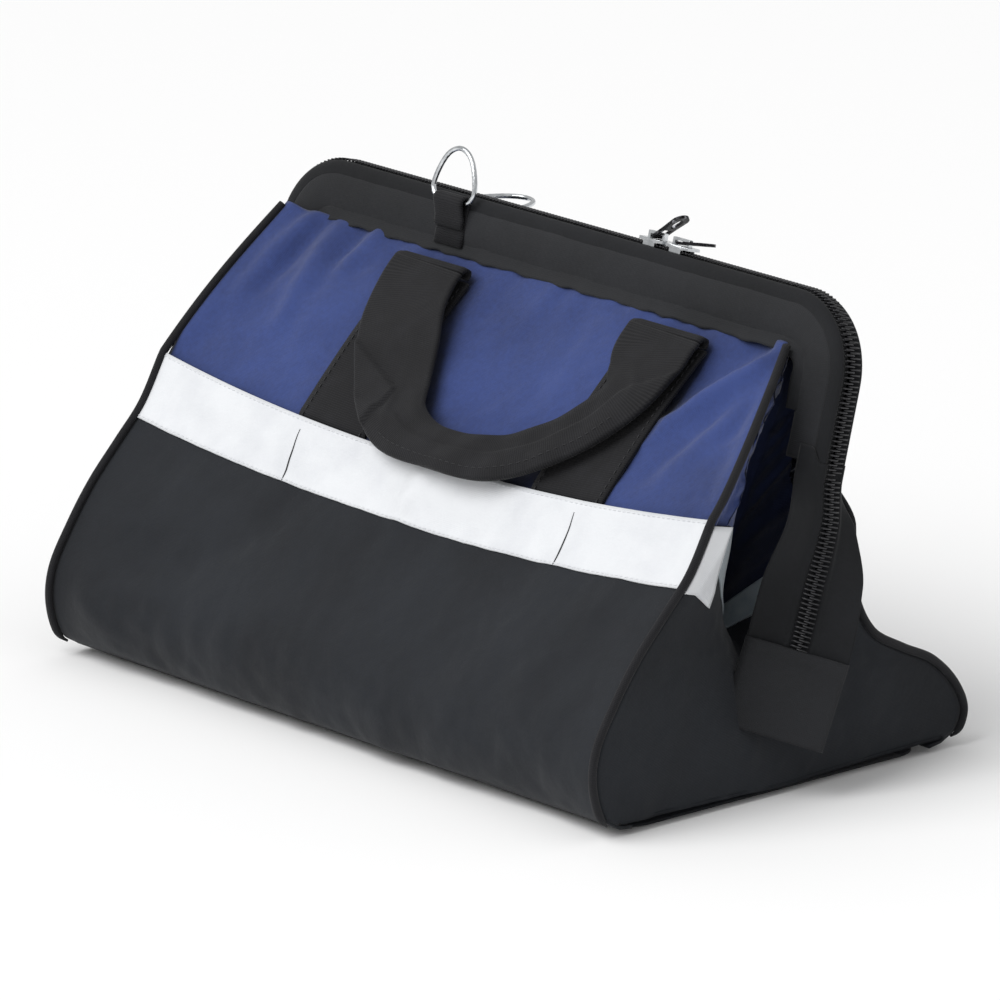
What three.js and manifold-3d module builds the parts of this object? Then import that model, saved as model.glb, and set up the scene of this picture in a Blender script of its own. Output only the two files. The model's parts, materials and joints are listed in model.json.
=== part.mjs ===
// A soft tool bag with a hinged steel mouth frame, closed by a zip along the top.
// Millimetres, +X along the bag, -Y to its front, +Z up, origin at the middle of its base.
import * as THREE from 'three';
import { mergeVertices } from 'three/addons/utils/BufferGeometryUtils.js';
import Module from 'manifold-3d';

const wasm = await Module();
wasm.setup();

// Body of the bag
const BASE_HALF_DEPTH = 103;
const BASE_CORNER_RADIUS = 14;
const BASE_PANEL_THICKNESS = 2;
const BASE_BOARD_THICKNESS = 3;
const BASE_BOARD_MARGIN = 10;
const POCKET_CLOTH = 1.6;
const BODY_CLOTH = 1.5;
const TAPE_CLOTH = 0.8;
const LAYER_GAP = 0.4;
const BINDING_RADIUS = 2;
const TAPE_WIDTH = 29;

// Mouth frame, in its own plane: x along the bag, y through the frame, z up from the hinge axis
const PIVOT_Y = 26;
const PIVOT_Z = 146;
const FRAME_LEAN = THREE.MathUtils.degToRad(14.5);
const SLEEVE_HALF_LENGTH = 200;
const BAG_OVERHANG = 3;
const BAG_HALF_LENGTH = SLEEVE_HALF_LENGTH + BAG_OVERHANG;
const SLEEVE_TOP = 83;
const SLEEVE_WIDTH = 22;
const SLEEVE_THICKNESS = 7;
const SLEEVE_CORNER = 34;
const SLEEVE_LEG_BOTTOM = 10;
const SLEEVE_HALF_GAP = 1.2;
const SLEEVE_OPEN_END = 5;
const BAR_WIDTH = 14;
const BAR_THICKNESS = 3;
const BAR_CLEARANCE = 0.4;
const KNUCKLE_RADIUS = 4.6;
const KNUCKLE_LENGTH = 6;
const KNUCKLE_GAP = 0.5;
const KNUCKLE_FOOT = 2;
const KNUCKLE_WEB = 0.5;
const PIN_RADIUS = 2;
const PIN_CLEARANCE = 0.3;
const PIN_HEAD = 1.4;
const PIN_HEAD_RADIUS = 3.8;

// Zip
const SEAT_GAP = 0.3;
const ZIP_RISE = 3;
const ZIP_TAPE_THICKNESS = 1;
const ZIP_HALF_WIDTH = 8;
const ZIP_HALF_GAP = 0.9;
const ZIP_HEM_WIDTH = 2;
const COIL_WIDTH = 3.3;
const COIL_HEIGHT = 2.2;
const COIL_SPINE = 1.6;
const TOOTH_PITCH = 6.5;
const TOOTH_LENGTH = 2.6;
const ZIP_LEG_BOTTOM = 3;
const WELD_LAP = 0.3;
const PLATE_CLEARANCE = 0.1;
const SLIDER_LENGTH = 17;
const SLIDER_HALF_WIDTH = 5.8;
const SLIDER_PLATE = 1.5;
const SLIDER_NECK_HALF = 0.6;
const SLIDER_NECK_LENGTH = 4;
const SLIDER_NOSE = 5;
const SLIDER_TAIL_SHARE = 0.72;
const SLIDER_NECK_INSET = 1.5;
const SLIDER_FLANGE = 1.1;
const SLIDER_MEETING_X = 66;
const SLIDER_GAP = 0.6;
const BRIDGE_LENGTH = 10;
const BRIDGE_HEIGHT = 3.6;
const BRIDGE_THICKNESS = 1.4;
const BRIDGE_HALF_WIDTH = 1.2;
const PULL_LENGTH = 21;
const PULL_HALF_WIDTH = 4.6;
const PULL_THICKNESS = 1.5;
const PULL_EYE_LENGTH = 7.5;
const PULL_EYE_HALF = 3.2;
const PULL_ROD = 0.75;
const PULL_HOLE_HALF_LENGTH = 4.2;
const PULL_HOLE_HALF_WIDTH = 1.9;
const PULL_HOLE_INSET = 2.5;
const LEFT_PULL_REST = THREE.MathUtils.degToRad(38);
const RIGHT_PULL_REST = THREE.MathUtils.degToRad(8);

// Zip tails
const TAIL_HALF_WIDTH = 25;
const TAIL_TOP_HALF_WIDTH = 12;
const TAIL_SPREAD = 62;
const TAIL_LENGTH = 84;
const TAIL_TWIST = THREE.MathUtils.degToRad(42);
const TAIL_SWAY = 8.5;
const TAIL_LAP = 2.5;
const TAIL_COIL_GAP = 0.45;
const END_TAB_LENGTH = 37;
const END_TAB_HALF_WIDTH = 25.5;
const END_TAB_THICKNESS = 3.6;
const END_TAB_OVERLAP_GAP = 0.4;
const END_TAB_NOTCH = 5;

// Handles and rings
const WEBBING_WIDTH = 50;
const WEBBING_THICKNESS = 2.8;
const HANDLE_CENTRE_X = 86;
const HANDLE_DROP = 104;
const HANDLE_CORNER = 24;
const HANDLE_LEG_BEND = 3;
const GRIP_WIDTH = 28;
const FOLD_RADIUS = 2.2;
const FOLD_CLEARANCE = 0.3;
const FOLD_SEAT = 0.5;
const FRONT_FOLD_DOWN = 16;
const FRONT_HANDLE_SHIFT = 14;
const BACK_FOLD_DOWN = 14;
const BACK_HANDLE_LEAN = THREE.MathUtils.degToRad(11);
const BASE_STRAP_THICKNESS = 1.6;
const STRAP_SHARE_MARGIN = 0.012;
const STRAP_END_BELOW_FOLD = 0.002;
const RING_CENTRE_X = -78;
const RING_WIRE = 1.5;
const RING_HALF_WIDTH = 15;
const RING_HEIGHT = 26;
const RING_BAR_HEIGHT = 84;
const RING_CORNER = 4;
const RING_CLEARANCE = 0.35;
const RING_STANDOFF = 0.5;
const RING_TAB_HALF_WIDTH = 10.5;
const RING_TAB_CLOTH = 1.8;
const RING_TAB_BOTTOM = 63;
const BACK_RING_LEAN = THREE.MathUtils.degToRad(78);

const BLACK_CLOTH = { color: 0x2f3236, roughness: 0.9 };
const BLUE_CLOTH = { color: 0x35427c, roughness: 0.85 };
const REFLECTIVE = { color: 0xe9edf4, roughness: 0.45 };
const GREY_TAPE = { color: 0x7d9096, roughness: 0.5 };
const WEBBING = { color: 0x26252b, roughness: 0.85 };
const BOARD = { color: 0x1c1c1e, roughness: 0.7 };
const STEEL = { color: 0xc9ccd0, roughness: 0.3, metalness: 1 };
const BLACK_METAL = { color: 0x1d1d20, roughness: 0.35, metalness: 0.8 };
const COIL = { color: 0x161618, roughness: 0.5 };

const bag = new THREE.Group();
const frame = new THREE.Group();
frame.position.set(0, PIVOT_Y, PIVOT_Z);
frame.rotation.x = -FRAME_LEAN;
bag.add(frame);

function addPiece(parent, name, geometry, finish) {
  const mesh = new THREE.Mesh(geometry, new THREE.MeshStandardMaterial(finish));
  mesh.name = name;
  parent.add(mesh);
  return mesh;
}

function toSolid(geometry) {
  const bare = geometry.clone();
  bare.deleteAttribute('normal');
  bare.deleteAttribute('uv');
  const merged = mergeVertices(bare, 1e-4);
  return new wasm.Manifold(new wasm.Mesh({
    numProp: 3,
    vertProperties: new Float32Array(merged.attributes.position.array),
    triVerts: new Uint32Array(merged.index.array),
  }));
}

function toGeometry(solid) {
  const mesh = solid.getMesh();
  const geometry = new THREE.BufferGeometry();
  geometry.setAttribute('position', new THREE.BufferAttribute(mesh.vertProperties, 3));
  geometry.setIndex(new THREE.BufferAttribute(mesh.triVerts, 1));
  return geometry;
}

function joined(geometries) {
  return geometries.map(toSolid).reduce((whole, piece) => whole.add(piece));
}

function boxAt(low, high) {
  const size = [0, 1, 2].map((k) => high[k] - low[k]);
  const geometry = new THREE.BoxGeometry(...size);
  geometry.translate(low[0] + size[0] / 2, low[1] + size[1] / 2, low[2] + size[2] / 2);
  return geometry;
}

function cylinderAlongX(radius, fromX, toX, sides = 20) {
  const geometry = new THREE.CylinderGeometry(radius, radius, toX - fromX, sides);
  geometry.rotateZ(Math.PI / 2);
  geometry.translate((fromX + toX) / 2, 0, 0);
  return geometry;
}

// A shape drawn in x and z, extruded along y from fromY to toY
function slabAlongY(shape, fromY, toY, curveSegments = 6) {
  const settings = { depth: toY - fromY, bevelEnabled: false, curveSegments };
  const geometry = new THREE.ExtrudeGeometry(shape, settings);
  geometry.rotateX(Math.PI / 2);
  geometry.translate(0, toY, 0);
  return geometry;
}

// A closed grid of points (rows of columns) and its copy, joined by a wall all round
function closedSheet(outer, inner) {
  const rows = outer.length;
  const columns = outer[0].length;
  const points = [...outer.flat(), ...inner.flat()];
  const index = [];
  const at = (side, row, column) => side * rows * columns + row * columns + column;
  const quad = (a, b, c, d) => index.push(a, b, c, a, c, d);
  for (let row = 0; row < rows - 1; row += 1) {
    for (let column = 0; column < columns - 1; column += 1) {
      quad(at(0, row, column), at(0, row, column + 1), at(0, row + 1, column + 1), at(0, row + 1, column));
      quad(at(1, row, column), at(1, row + 1, column), at(1, row + 1, column + 1), at(1, row, column + 1));
    }
  }
  for (let column = 0; column < columns - 1; column += 1) {
    quad(at(0, 0, column), at(1, 0, column), at(1, 0, column + 1), at(0, 0, column + 1));
    const last = rows - 1;
    quad(at(0, last, column), at(0, last, column + 1), at(1, last, column + 1), at(1, last, column));
  }
  for (let row = 0; row < rows - 1; row += 1) {
    quad(at(0, row, 0), at(0, row + 1, 0), at(1, row + 1, 0), at(1, row, 0));
    const last = columns - 1;
    quad(at(0, row, last), at(1, row, last), at(1, row + 1, last), at(0, row + 1, last));
  }
  return facedOut(points, index);
}

function facedOut(points, index) {
  let volume = 0;
  for (let k = 0; k < index.length; k += 3) {
    const [a, b, c] = [points[index[k]], points[index[k + 1]], points[index[k + 2]]];
    volume += a.dot(new THREE.Vector3().crossVectors(b, c));
  }
  if (volume < 0) {
    index.reverse();
  }
  const geometry = new THREE.BufferGeometry();
  geometry.setFromPoints(points);
  geometry.setIndex(index);
  return geometry;
}

function evenly(from, to, count) {
  return Array.from({ length: count + 1 }, (_, k) => from + ((to - from) * k) / count);
}

// Cloth between two depths below a surface(u, v), on the given rows. Layers that lie on each other share
// their rows and columns, so that they bend alike.
function cloth(surface, columns, rows, depth, thickness, inward) {
  const step = 1e-3;
  const layer = (below) => rows.map((v) => columns.map((u) => {
    const alongU = surface(Math.min(u + step, 1), v).sub(surface(Math.max(u - step, 0), v));
    const alongV = surface(u, Math.min(v + step, 1)).sub(surface(u, Math.max(v - step, 0)));
    const normal = alongU.cross(alongV).normalize().multiplyScalar(inward * below);
    return surface(u, v).add(normal);
  }));
  return closedSheet(layer(depth), layer(depth + thickness));
}

function closedTube(path, radius, steps, sides) {
  const points = [];
  const index = [];
  const frames = path.computeFrenetFrames(steps, true);
  for (let i = 0; i < steps; i += 1) {
    const centre = path.getPointAt(i / steps);
    for (let k = 0; k < sides; k += 1) {
      const angle = (2 * Math.PI * k) / sides;
      const offset = frames.normals[i].clone().multiplyScalar(radius * Math.cos(angle));
      offset.addScaledVector(frames.binormals[i], radius * Math.sin(angle));
      points.push(centre.clone().add(offset));
    }
  }
  for (let i = 0; i < steps; i += 1) {
    for (let k = 0; k < sides; k += 1) {
      const next = ((i + 1) % steps) * sides;
      const k2 = (k + 1) % sides;
      index.push(i * sides + k, next + k, next + k2, i * sides + k, next + k2, i * sides + k2);
    }
  }
  return facedOut(points, index);
}

function tubeAlong(points, radius, steps, sides = 8) {
  const section = new THREE.Shape();
  for (let k = 0; k < sides; k += 1) {
    const angle = (2 * Math.PI * k) / sides;
    const corner = [radius * Math.cos(angle), radius * Math.sin(angle)];
    if (k === 0) {
      section.moveTo(...corner);
    } else {
      section.lineTo(...corner);
    }
  }
  section.closePath();
  const extrudePath = new THREE.CatmullRomCurve3(points);
  return new THREE.ExtrudeGeometry(section, { steps, extrudePath, bevelEnabled: false, curveSegments: 1 });
}

// The bag's walls. Each profile is a smooth curve of (y, z) from the base to the sleeve's lower edge;
// the pocket's top is at POCKET_SHARE of it.
const POCKET_SHARE = 0.6;
const POCKET_DEPTH = 172;
const GUSSET_INSET_LOW = 5.6;
const GUSSET_INSET_HIGH = 9;
const SEAM_DRAW_IN = 33;
const FRONT_LEFT_DRAW_IN = 6;
const LEG_STANDOFF = 3.5;
const LEG_STANDOFF_BLEND = 25;
const FRONT_DRAW_IN_POWER = 1.5;
const BACK_DRAW_IN_SPAN = 0.4;
const END_PROFILE_POWER = 2.2;
const BASE_MARGIN = 1;
const FRONT_BULGE = 3;
const BACK_BULGE = 2;
// How far the walls' tops stand off the sleeve and rise beside it, as shares of the body cloth's depth
const FRONT_STANDOFF = 0.7;
const FRONT_LAP = 0.6;
const BACK_STANDOFF = 0.9;
const BACK_LAP = 0.25;
// The part of a wall's height that its gusset spans
const GUSSET_START = 0.005;
const GUSSET_SPAN = 0.985;
const GUSSET_SPREAD = 0.25;
const BINDING_START = 0.02;
const BINDING_END = 0.98;

function profileCurve(points) {
  return new THREE.CatmullRomCurve3(points.map(([y, z]) => new THREE.Vector3(0, y, z)), false, 'centripetal');
}

const pocketBottomZ = BASE_PANEL_THICKNESS + SEAT_GAP;
const sleeveBottom = SLEEVE_TOP - SLEEVE_WIDTH;

function framePoint(y, z) {
  const c = Math.cos(FRAME_LEAN);
  const s = Math.sin(FRAME_LEAN);
  return [PIVOT_Y + y * c + z * s, PIVOT_Z - y * s + z * c];
}

// The walls' outermost surface runs past the sleeve's edge, so that the body cloth under it
// ends at the sleeve
const pocketLayer = TAPE_CLOTH + LAYER_GAP;
const bodyLayer = pocketLayer + POCKET_CLOTH + LAYER_GAP;
const sleeveFace = SLEEVE_HALF_GAP + SLEEVE_THICKNESS;
const frontTop = framePoint(-sleeveFace - FRONT_STANDOFF * bodyLayer,
  sleeveBottom - SEAT_GAP + FRONT_LAP * bodyLayer);
const backTop = framePoint(sleeveFace + BACK_STANDOFF * bodyLayer,
  sleeveBottom - SEAT_GAP + BACK_LAP * bodyLayer);
const baseEdge = BASE_HALF_DEPTH + BASE_MARGIN;

const frontEndLow = [[-baseEdge, pocketBottomZ], [-115, 10], [-121, 28], [-119, 45], [-107, 66], [-93, 85],
  [-76, 103], [-61, 119], [-47, 143]];
const frontMidLow = [[-baseEdge, pocketBottomZ], [-113, 9], [-118, 26], [-114, 44], [-102, 62], [-88, 80],
  [-74, 95], [-63, 107], [-50, 131]];
const backEndLow = [[baseEdge, pocketBottomZ], [114, 8], [118, 18], [112, 32], [98, 48], [80, 59],
  [62, 69], [52, 88], [49, 122]];
const backMidLow = [[baseEdge, pocketBottomZ], [112, 10], [114, 22], [108, 38], [95, 55], [82, 68],
  [68, 80], [58, 96], [53, 124]];

// The end seams draw in above the pockets, because the sleeve's legs stand outside them. A wall
// whose left edge draws in less lies over that leg, and stands off it.
function wall(endLow, midLow, top, bulge, side, drawnInBy, leftDrawIn = SEAM_DRAW_IN) {
  const curves = [endLow, midLow].map(profileCurve);
  const lowPoint = (curve, t) => curve.getPoint(Math.min(t, 1));
  const seamX = (v, drawIn) => {
    const upper = Math.max(0, (v - POCKET_SHARE) / (1 - POCKET_SHARE));
    return BAG_HALF_LENGTH - BINDING_RADIUS * 2 - drawIn * drawnInBy(upper);
  };
  const surface = (u, v) => {
    const across = 2 * u - 1;
    const x = across * seamX(v, across < 0 ? leftDrawIn : SEAM_DRAW_IN);
    const edgeShare = Math.min(Math.abs(x) / seamX(v, SEAM_DRAW_IN), 1) ** END_PROFILE_POWER;
    const t = Math.min(v / POCKET_SHARE, 1);
    const point = lowPoint(curves[1], t).lerp(lowPoint(curves[0], t), edgeShare);
    if (v > POCKET_SHARE) {
      const upper = (v - POCKET_SHARE) / (1 - POCKET_SHARE);
      const sleeveEdge = new THREE.Vector3(0, top[0], top[1]);
      point.lerp(sleeveEdge, upper);
      point.y += side * bulge * Math.sin(Math.PI * upper);
      if (leftDrawIn < SEAM_DRAW_IN) {
        const legInside = SLEEVE_HALF_LENGTH - SLEEVE_WIDTH;
        const overLeg = THREE.MathUtils.smoothstep(-x, legInside - LEG_STANDOFF_BLEND, legInside);
        point.y += side * LEG_STANDOFF * upper * overLeg;
      }
    }
    point.x = x;
    return point;
  };
  return surface;
}

const frontWall = wall(frontEndLow, frontMidLow, frontTop, FRONT_BULGE, -1,
  (upper) => upper ** FRONT_DRAW_IN_POWER, FRONT_LEFT_DRAW_IN);
const backWall = wall(backEndLow, backMidLow, backTop, BACK_BULGE, 1,
  (upper) => THREE.MathUtils.smoothstep(upper, 0, BACK_DRAW_IN_SPAN));
const tapeShare = (TAPE_WIDTH / POCKET_DEPTH) * POCKET_SHARE;
const pocketRows = evenly(0, POCKET_SHARE - tapeShare, 7);
const tapeRows = evenly(POCKET_SHARE - tapeShare, POCKET_SHARE, 2);
const upperRows = evenly(POCKET_SHARE, 1, 5);
const allPocketRows = [...pocketRows, ...tapeRows.slice(1)];
const allRows = [...allPocketRows, ...upperRows.slice(1)];

function wallPieces(side, surface, inward) {
  const columns = evenly(0, 1, 10);
  const body = cloth(surface, columns, allRows.slice(1), bodyLayer, BODY_CLOTH, inward);
  addPiece(bag, `${side}_body_panel`, body, BLUE_CLOTH);
  const pocket = cloth(surface, columns, allPocketRows, pocketLayer, POCKET_CLOTH, inward);
  addPiece(bag, `${side}_pocket_panel`, pocket, BLACK_CLOTH);
  const tape = cloth(surface, columns, tapeRows, 0, TAPE_CLOTH, inward);
  addPiece(bag, `${side}_reflective_tape`, tape, REFLECTIVE);
}

wallPieces('front', frontWall, -1);
wallPieces('back', backWall, 1);

// End gussets: they hang between the two end seams and fold inward, deepest half way up
const GUSSET_MID = [[0, 2.3], [1, 14], [4, 27], [10, 39], [18, 47], [28, 53], [50, 62], [57, 90], [56, 122],
  [49, 160], [40, 200]];

function gussetSurface(endSign) {
  const mid = new THREE.CatmullRomCurve3(GUSSET_MID.map(([inset, z]) => (
    new THREE.Vector3(BAG_HALF_LENGTH - inset, 0, z))), false, 'centripetal');
  const seamPoint = (surface, v, step) => {
    const point = surface(1, v);
    const along = surface(1, Math.min(v + 0.01, 1)).sub(surface(1, Math.max(v - 0.01, 0))).normalize();
    const lowToMid = THREE.MathUtils.smoothstep(v, 0.1, 0.45);
    const inset = THREE.MathUtils.lerp(GUSSET_INSET_LOW, GUSSET_INSET_HIGH, lowToMid);
    return new THREE.Vector3(point.x + BINDING_RADIUS * 2, point.y - step * inset * along.z,
      point.z + step * inset * along.y);
  };
  return (u, v) => {
    const wallShare = GUSSET_SPAN * v + GUSSET_START;
    const front = seamPoint(frontWall, wallShare, -1);
    const back = seamPoint(backWall, wallShare, 1);
    const fold = THREE.MathUtils.smoothstep(1 - Math.abs(2 * u - 1), 0, 1);
    const edge = front.clone().lerp(back, u);
    const deep = mid.getPoint(v);
    deep.y = (front.y + back.y) / 2 + (back.y - front.y) * (u - 0.5) * GUSSET_SPREAD;
    const point = edge.lerp(deep, fold);
    point.z = Math.max(point.z, pocketBottomZ);
    point.x *= endSign;
    return point;
  };
}

for (const [end, sign] of [['left', -1], ['right', 1]]) {
  const columns = evenly(0, 1, 8);
  const surface = gussetSurface(sign);
  const inner = cloth(surface, columns, allRows.slice(1, -1), bodyLayer, BODY_CLOTH, -sign);
  addPiece(bag, `${end}_gusset_panel`, inner, BLUE_CLOTH);
  const pocket = cloth(surface, columns, allPocketRows, pocketLayer, POCKET_CLOTH, -sign);
  addPiece(bag, `${end}_gusset_pocket`, pocket, BLACK_CLOTH);
  addPiece(bag, `${end}_gusset_tape`, cloth(surface, columns, tapeRows, 0, TAPE_CLOTH, -sign), GREY_TAPE);
}

// Dark binding along each corner seam
function binding(surface, sign) {
  const points = evenly(BINDING_START, BINDING_END, 24).map((v) => {
    const point = surface(sign < 0 ? 0 : 1, v);
    point.x += sign * (BINDING_RADIUS + 3 * SEAT_GAP);
    return point;
  });
  return tubeAlong(points, BINDING_RADIUS, 22, 6);
}

for (const [side, surface] of [['front', frontWall], ['back', backWall]]) {
  for (const [end, sign] of [['left', -1], ['right', 1]]) {
    addPiece(bag, `${side}_${end}_binding`, binding(surface, sign), WEBBING);
  }
}

// Base
function roundedRectangle(halfLength, halfDepth, radius) {
  const shape = new THREE.Shape();
  shape.moveTo(-halfLength + radius, -halfDepth);
  shape.lineTo(halfLength - radius, -halfDepth);
  shape.absarc(halfLength - radius, -halfDepth + radius, radius, -Math.PI / 2, 0);
  shape.lineTo(halfLength, halfDepth - radius);
  shape.absarc(halfLength - radius, halfDepth - radius, radius, 0, Math.PI / 2);
  shape.lineTo(-halfLength + radius, halfDepth);
  shape.absarc(-halfLength + radius, halfDepth - radius, radius, Math.PI / 2, Math.PI);
  shape.lineTo(-halfLength, -halfDepth + radius);
  shape.absarc(-halfLength + radius, -halfDepth + radius, radius, Math.PI, Math.PI * 1.5);
  return shape;
}

const basePanel = new THREE.ExtrudeGeometry(
  roundedRectangle(BAG_HALF_LENGTH, BASE_HALF_DEPTH, BASE_CORNER_RADIUS),
  { depth: BASE_PANEL_THICKNESS, bevelEnabled: false, curveSegments: 8 });
addPiece(bag, 'base_panel', basePanel, BLACK_CLOTH);

const boardShape = roundedRectangle(BAG_HALF_LENGTH - BASE_BOARD_MARGIN, BASE_HALF_DEPTH - BASE_BOARD_MARGIN,
  BASE_CORNER_RADIUS - BASE_BOARD_MARGIN);
const baseBoard = new THREE.ExtrudeGeometry(boardShape,
  { depth: BASE_BOARD_THICKNESS, bevelEnabled: false, curveSegments: 6 });
baseBoard.translate(0, 0, BASE_PANEL_THICKNESS + SEAT_GAP);
addPiece(bag, 'base_board', baseBoard, BOARD);

// An upside-down U in x and z, of one width all round
function archShape(halfLength, top, radius, width, legBottom) {
  const shape = new THREE.Shape();
  const innerRadius = Math.max(radius - width, 1.5);
  const innerHalf = halfLength - width;
  const innerTop = top - width;
  shape.moveTo(-halfLength, legBottom);
  shape.lineTo(-innerHalf, legBottom);
  shape.lineTo(-innerHalf, innerTop - innerRadius);
  shape.absarc(-innerHalf + innerRadius, innerTop - innerRadius, innerRadius, Math.PI, Math.PI / 2, true);
  shape.lineTo(innerHalf - innerRadius, innerTop);
  shape.absarc(innerHalf - innerRadius, innerTop - innerRadius, innerRadius, Math.PI / 2, 0, true);
  shape.lineTo(innerHalf, legBottom);
  shape.lineTo(halfLength, legBottom);
  shape.lineTo(halfLength, top - radius);
  shape.absarc(halfLength - radius, top - radius, radius, 0, Math.PI / 2);
  shape.lineTo(-halfLength + radius, top);
  shape.absarc(-halfLength + radius, top - radius, radius, Math.PI / 2, Math.PI);
  shape.closePath();
  return shape;
}

function archSlab(halfLength, top, radius, width, legBottom, fromY, toY) {
  return slabAlongY(archShape(halfLength, top, radius, width, legBottom), fromY, toY);
}

const barTop = SLEEVE_TOP - (SLEEVE_WIDTH - BAR_WIDTH) / 2;
const barHalfLength = SLEEVE_HALF_LENGTH - (SLEEVE_WIDTH - BAR_WIDTH) / 2;
const barInset = (SLEEVE_WIDTH - BAR_WIDTH) / 2;
const barNear = SLEEVE_HALF_GAP + (SLEEVE_THICKNESS - BAR_THICKNESS) / 2;
const barFar = barNear + BAR_THICKNESS;

function mirrored(side, near, far) {
  return side < 0 ? [-far, -near] : [near, far];
}

// A flat U-bar with a rolled knuckle at the foot of each leg, one inside the other's
function frameBar(side) {
  const [low, high] = mirrored(side, barNear, barFar);
  const legFoot = KNUCKLE_RADIUS + KNUCKLE_FOOT;
  const pieces = [archSlab(barHalfLength, barTop, SLEEVE_CORNER - barInset, BAR_WIDTH, legFoot, low, high)];
  const bores = [];
  for (const end of [-1, 1]) {
    const middle = end * (barHalfLength - BAR_WIDTH / 2);
    const shift = side * (KNUCKLE_LENGTH + KNUCKLE_GAP) / 2;
    const from = middle + shift - KNUCKLE_LENGTH / 2;
    const to = middle + shift + KNUCKLE_LENGTH / 2;
    pieces.push(cylinderAlongX(KNUCKLE_RADIUS, from, to));
    const [webLow, webHigh] = mirrored(side, KNUCKLE_WEB, barFar);
    pieces.push(boxAt([from, webLow, KNUCKLE_WEB], [to, webHigh, legFoot + 1]));
    bores.push(cylinderAlongX(PIN_RADIUS + PIN_CLEARANCE, from - 1, to + 1));
  }
  return toGeometry(joined(pieces).subtract(joined(bores)));
}

function frameSleeve(side) {
  const [low, high] = mirrored(side, SLEEVE_HALF_GAP, SLEEVE_HALF_GAP + SLEEVE_THICKNESS);
  const shell = archSlab(SLEEVE_HALF_LENGTH, SLEEVE_TOP, SLEEVE_CORNER, SLEEVE_WIDTH, SLEEVE_LEG_BOTTOM,
    low, high);
  const [holeLow, holeHigh] = mirrored(side, barNear - BAR_CLEARANCE, barFar + BAR_CLEARANCE);
  const hole = archSlab(barHalfLength + BAR_CLEARANCE, barTop + BAR_CLEARANCE,
    SLEEVE_CORNER - barInset + BAR_CLEARANCE, BAR_WIDTH + 2 * BAR_CLEARANCE,
    SLEEVE_LEG_BOTTOM - SLEEVE_OPEN_END,
    holeLow, holeHigh);
  return toGeometry(toSolid(shell).subtract(toSolid(hole)));
}

const tapeUnder = SEAT_GAP + ZIP_RISE;
const coilUnder = tapeUnder + ZIP_TAPE_THICKNESS + SEAT_GAP;

function zipArch(rise, width, low, high) {
  return archSlab(SLEEVE_HALF_LENGTH + rise, SLEEVE_TOP + rise, SLEEVE_CORNER + rise, width, ZIP_LEG_BOTTOM,
    low, high);
}

// Flat tape that stands clear of the sleeve on a folded hem, so that a slider's lower plate fits below it
function zipTape(side) {
  const [low, high] = mirrored(side, ZIP_HALF_GAP, ZIP_HALF_WIDTH);
  const [hemLow, hemHigh] = mirrored(side, ZIP_HALF_WIDTH - ZIP_HEM_WIDTH, ZIP_HALF_WIDTH);
  const tapeTop = tapeUnder + ZIP_TAPE_THICKNESS;
  const flat = zipArch(tapeTop, ZIP_TAPE_THICKNESS, low, high);
  const hem = zipArch(tapeTop, tapeTop - SEAT_GAP, hemLow, hemHigh);
  return toGeometry(joined([flat, hem]));
}

// One tooth of the coil, standing on the sleeve's outline at the given place and turned to its slope
function toothAt(x, z, turn, side) {
  const [low, high] = mirrored(side, ZIP_HALF_GAP, ZIP_HALF_GAP + COIL_WIDTH - COIL_SPINE + 0.2);
  const tooth = boxAt([-TOOTH_LENGTH / 2, low, coilUnder], [TOOTH_LENGTH / 2, high, coilUnder + COIL_HEIGHT]);
  tooth.rotateY(turn);
  tooth.translate(x, 0, z);
  return tooth;
}

function zipCoil(side) {
  const [low, high] = mirrored(side, ZIP_HALF_GAP + COIL_WIDTH - COIL_SPINE, ZIP_HALF_GAP + COIL_WIDTH);
  const pieces = [zipArch(coilUnder + COIL_HEIGHT, COIL_HEIGHT, low, high)];
  const offset = side > 0 ? TOOTH_PITCH / 2 : 0;
  const straight = SLEEVE_HALF_LENGTH - SLEEVE_CORNER;
  for (let x = -straight + offset; x <= straight; x += TOOTH_PITCH) {
    pieces.push(toothAt(x, SLEEVE_TOP, 0, side));
  }
  for (const end of [-1, 1]) {
    for (let z = ZIP_LEG_BOTTOM + 2 + offset; z < SLEEVE_TOP - SLEEVE_CORNER; z += TOOTH_PITCH) {
      pieces.push(toothAt(end * SLEEVE_HALF_LENGTH, z, end * Math.PI / 2, side));
    }
    const turns = Math.round((SLEEVE_CORNER + coilUnder) * Math.PI / 2 / TOOTH_PITCH);
    for (const turn of evenly(0, Math.PI / 2, turns).slice(1, -1)) {
      const x = end * (straight + SLEEVE_CORNER * Math.sin(turn));
      const z = SLEEVE_TOP - SLEEVE_CORNER + SLEEVE_CORNER * Math.cos(turn);
      pieces.push(toothAt(x, z, end * turn, side));
    }
  }
  return toGeometry(joined(pieces));
}

for (const [name, side] of [['front', -1], ['back', 1]]) {
  addPiece(frame, `${name}_frame_bar`, frameBar(side), STEEL);
  addPiece(frame, `${name}_frame_sleeve`, frameSleeve(side), BLACK_CLOTH);
  addPiece(frame, `${name}_zip_tape`, zipTape(side), BLACK_CLOTH);
  addPiece(frame, `${name}_zip_coil`, zipCoil(side), COIL);
}

// Hinge pins: a rivet through the two knuckles, with a head at each end
function hingePin(end) {
  const middle = end * (barHalfLength - BAR_WIDTH / 2);
  const reach = KNUCKLE_LENGTH + KNUCKLE_GAP / 2 + SEAT_GAP;
  const shank = cylinderAlongX(PIN_RADIUS, middle - reach - WELD_LAP, middle + reach + WELD_LAP, 16);
  const heads = [-1, 1].map((s) => {
    const near = middle + s * reach;
    const far = middle + s * (reach + PIN_HEAD);
    return cylinderAlongX(PIN_HEAD_RADIUS, Math.min(near, far), Math.max(near, far), 16);
  });
  return toGeometry(joined([shank, ...heads]));
}

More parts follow.
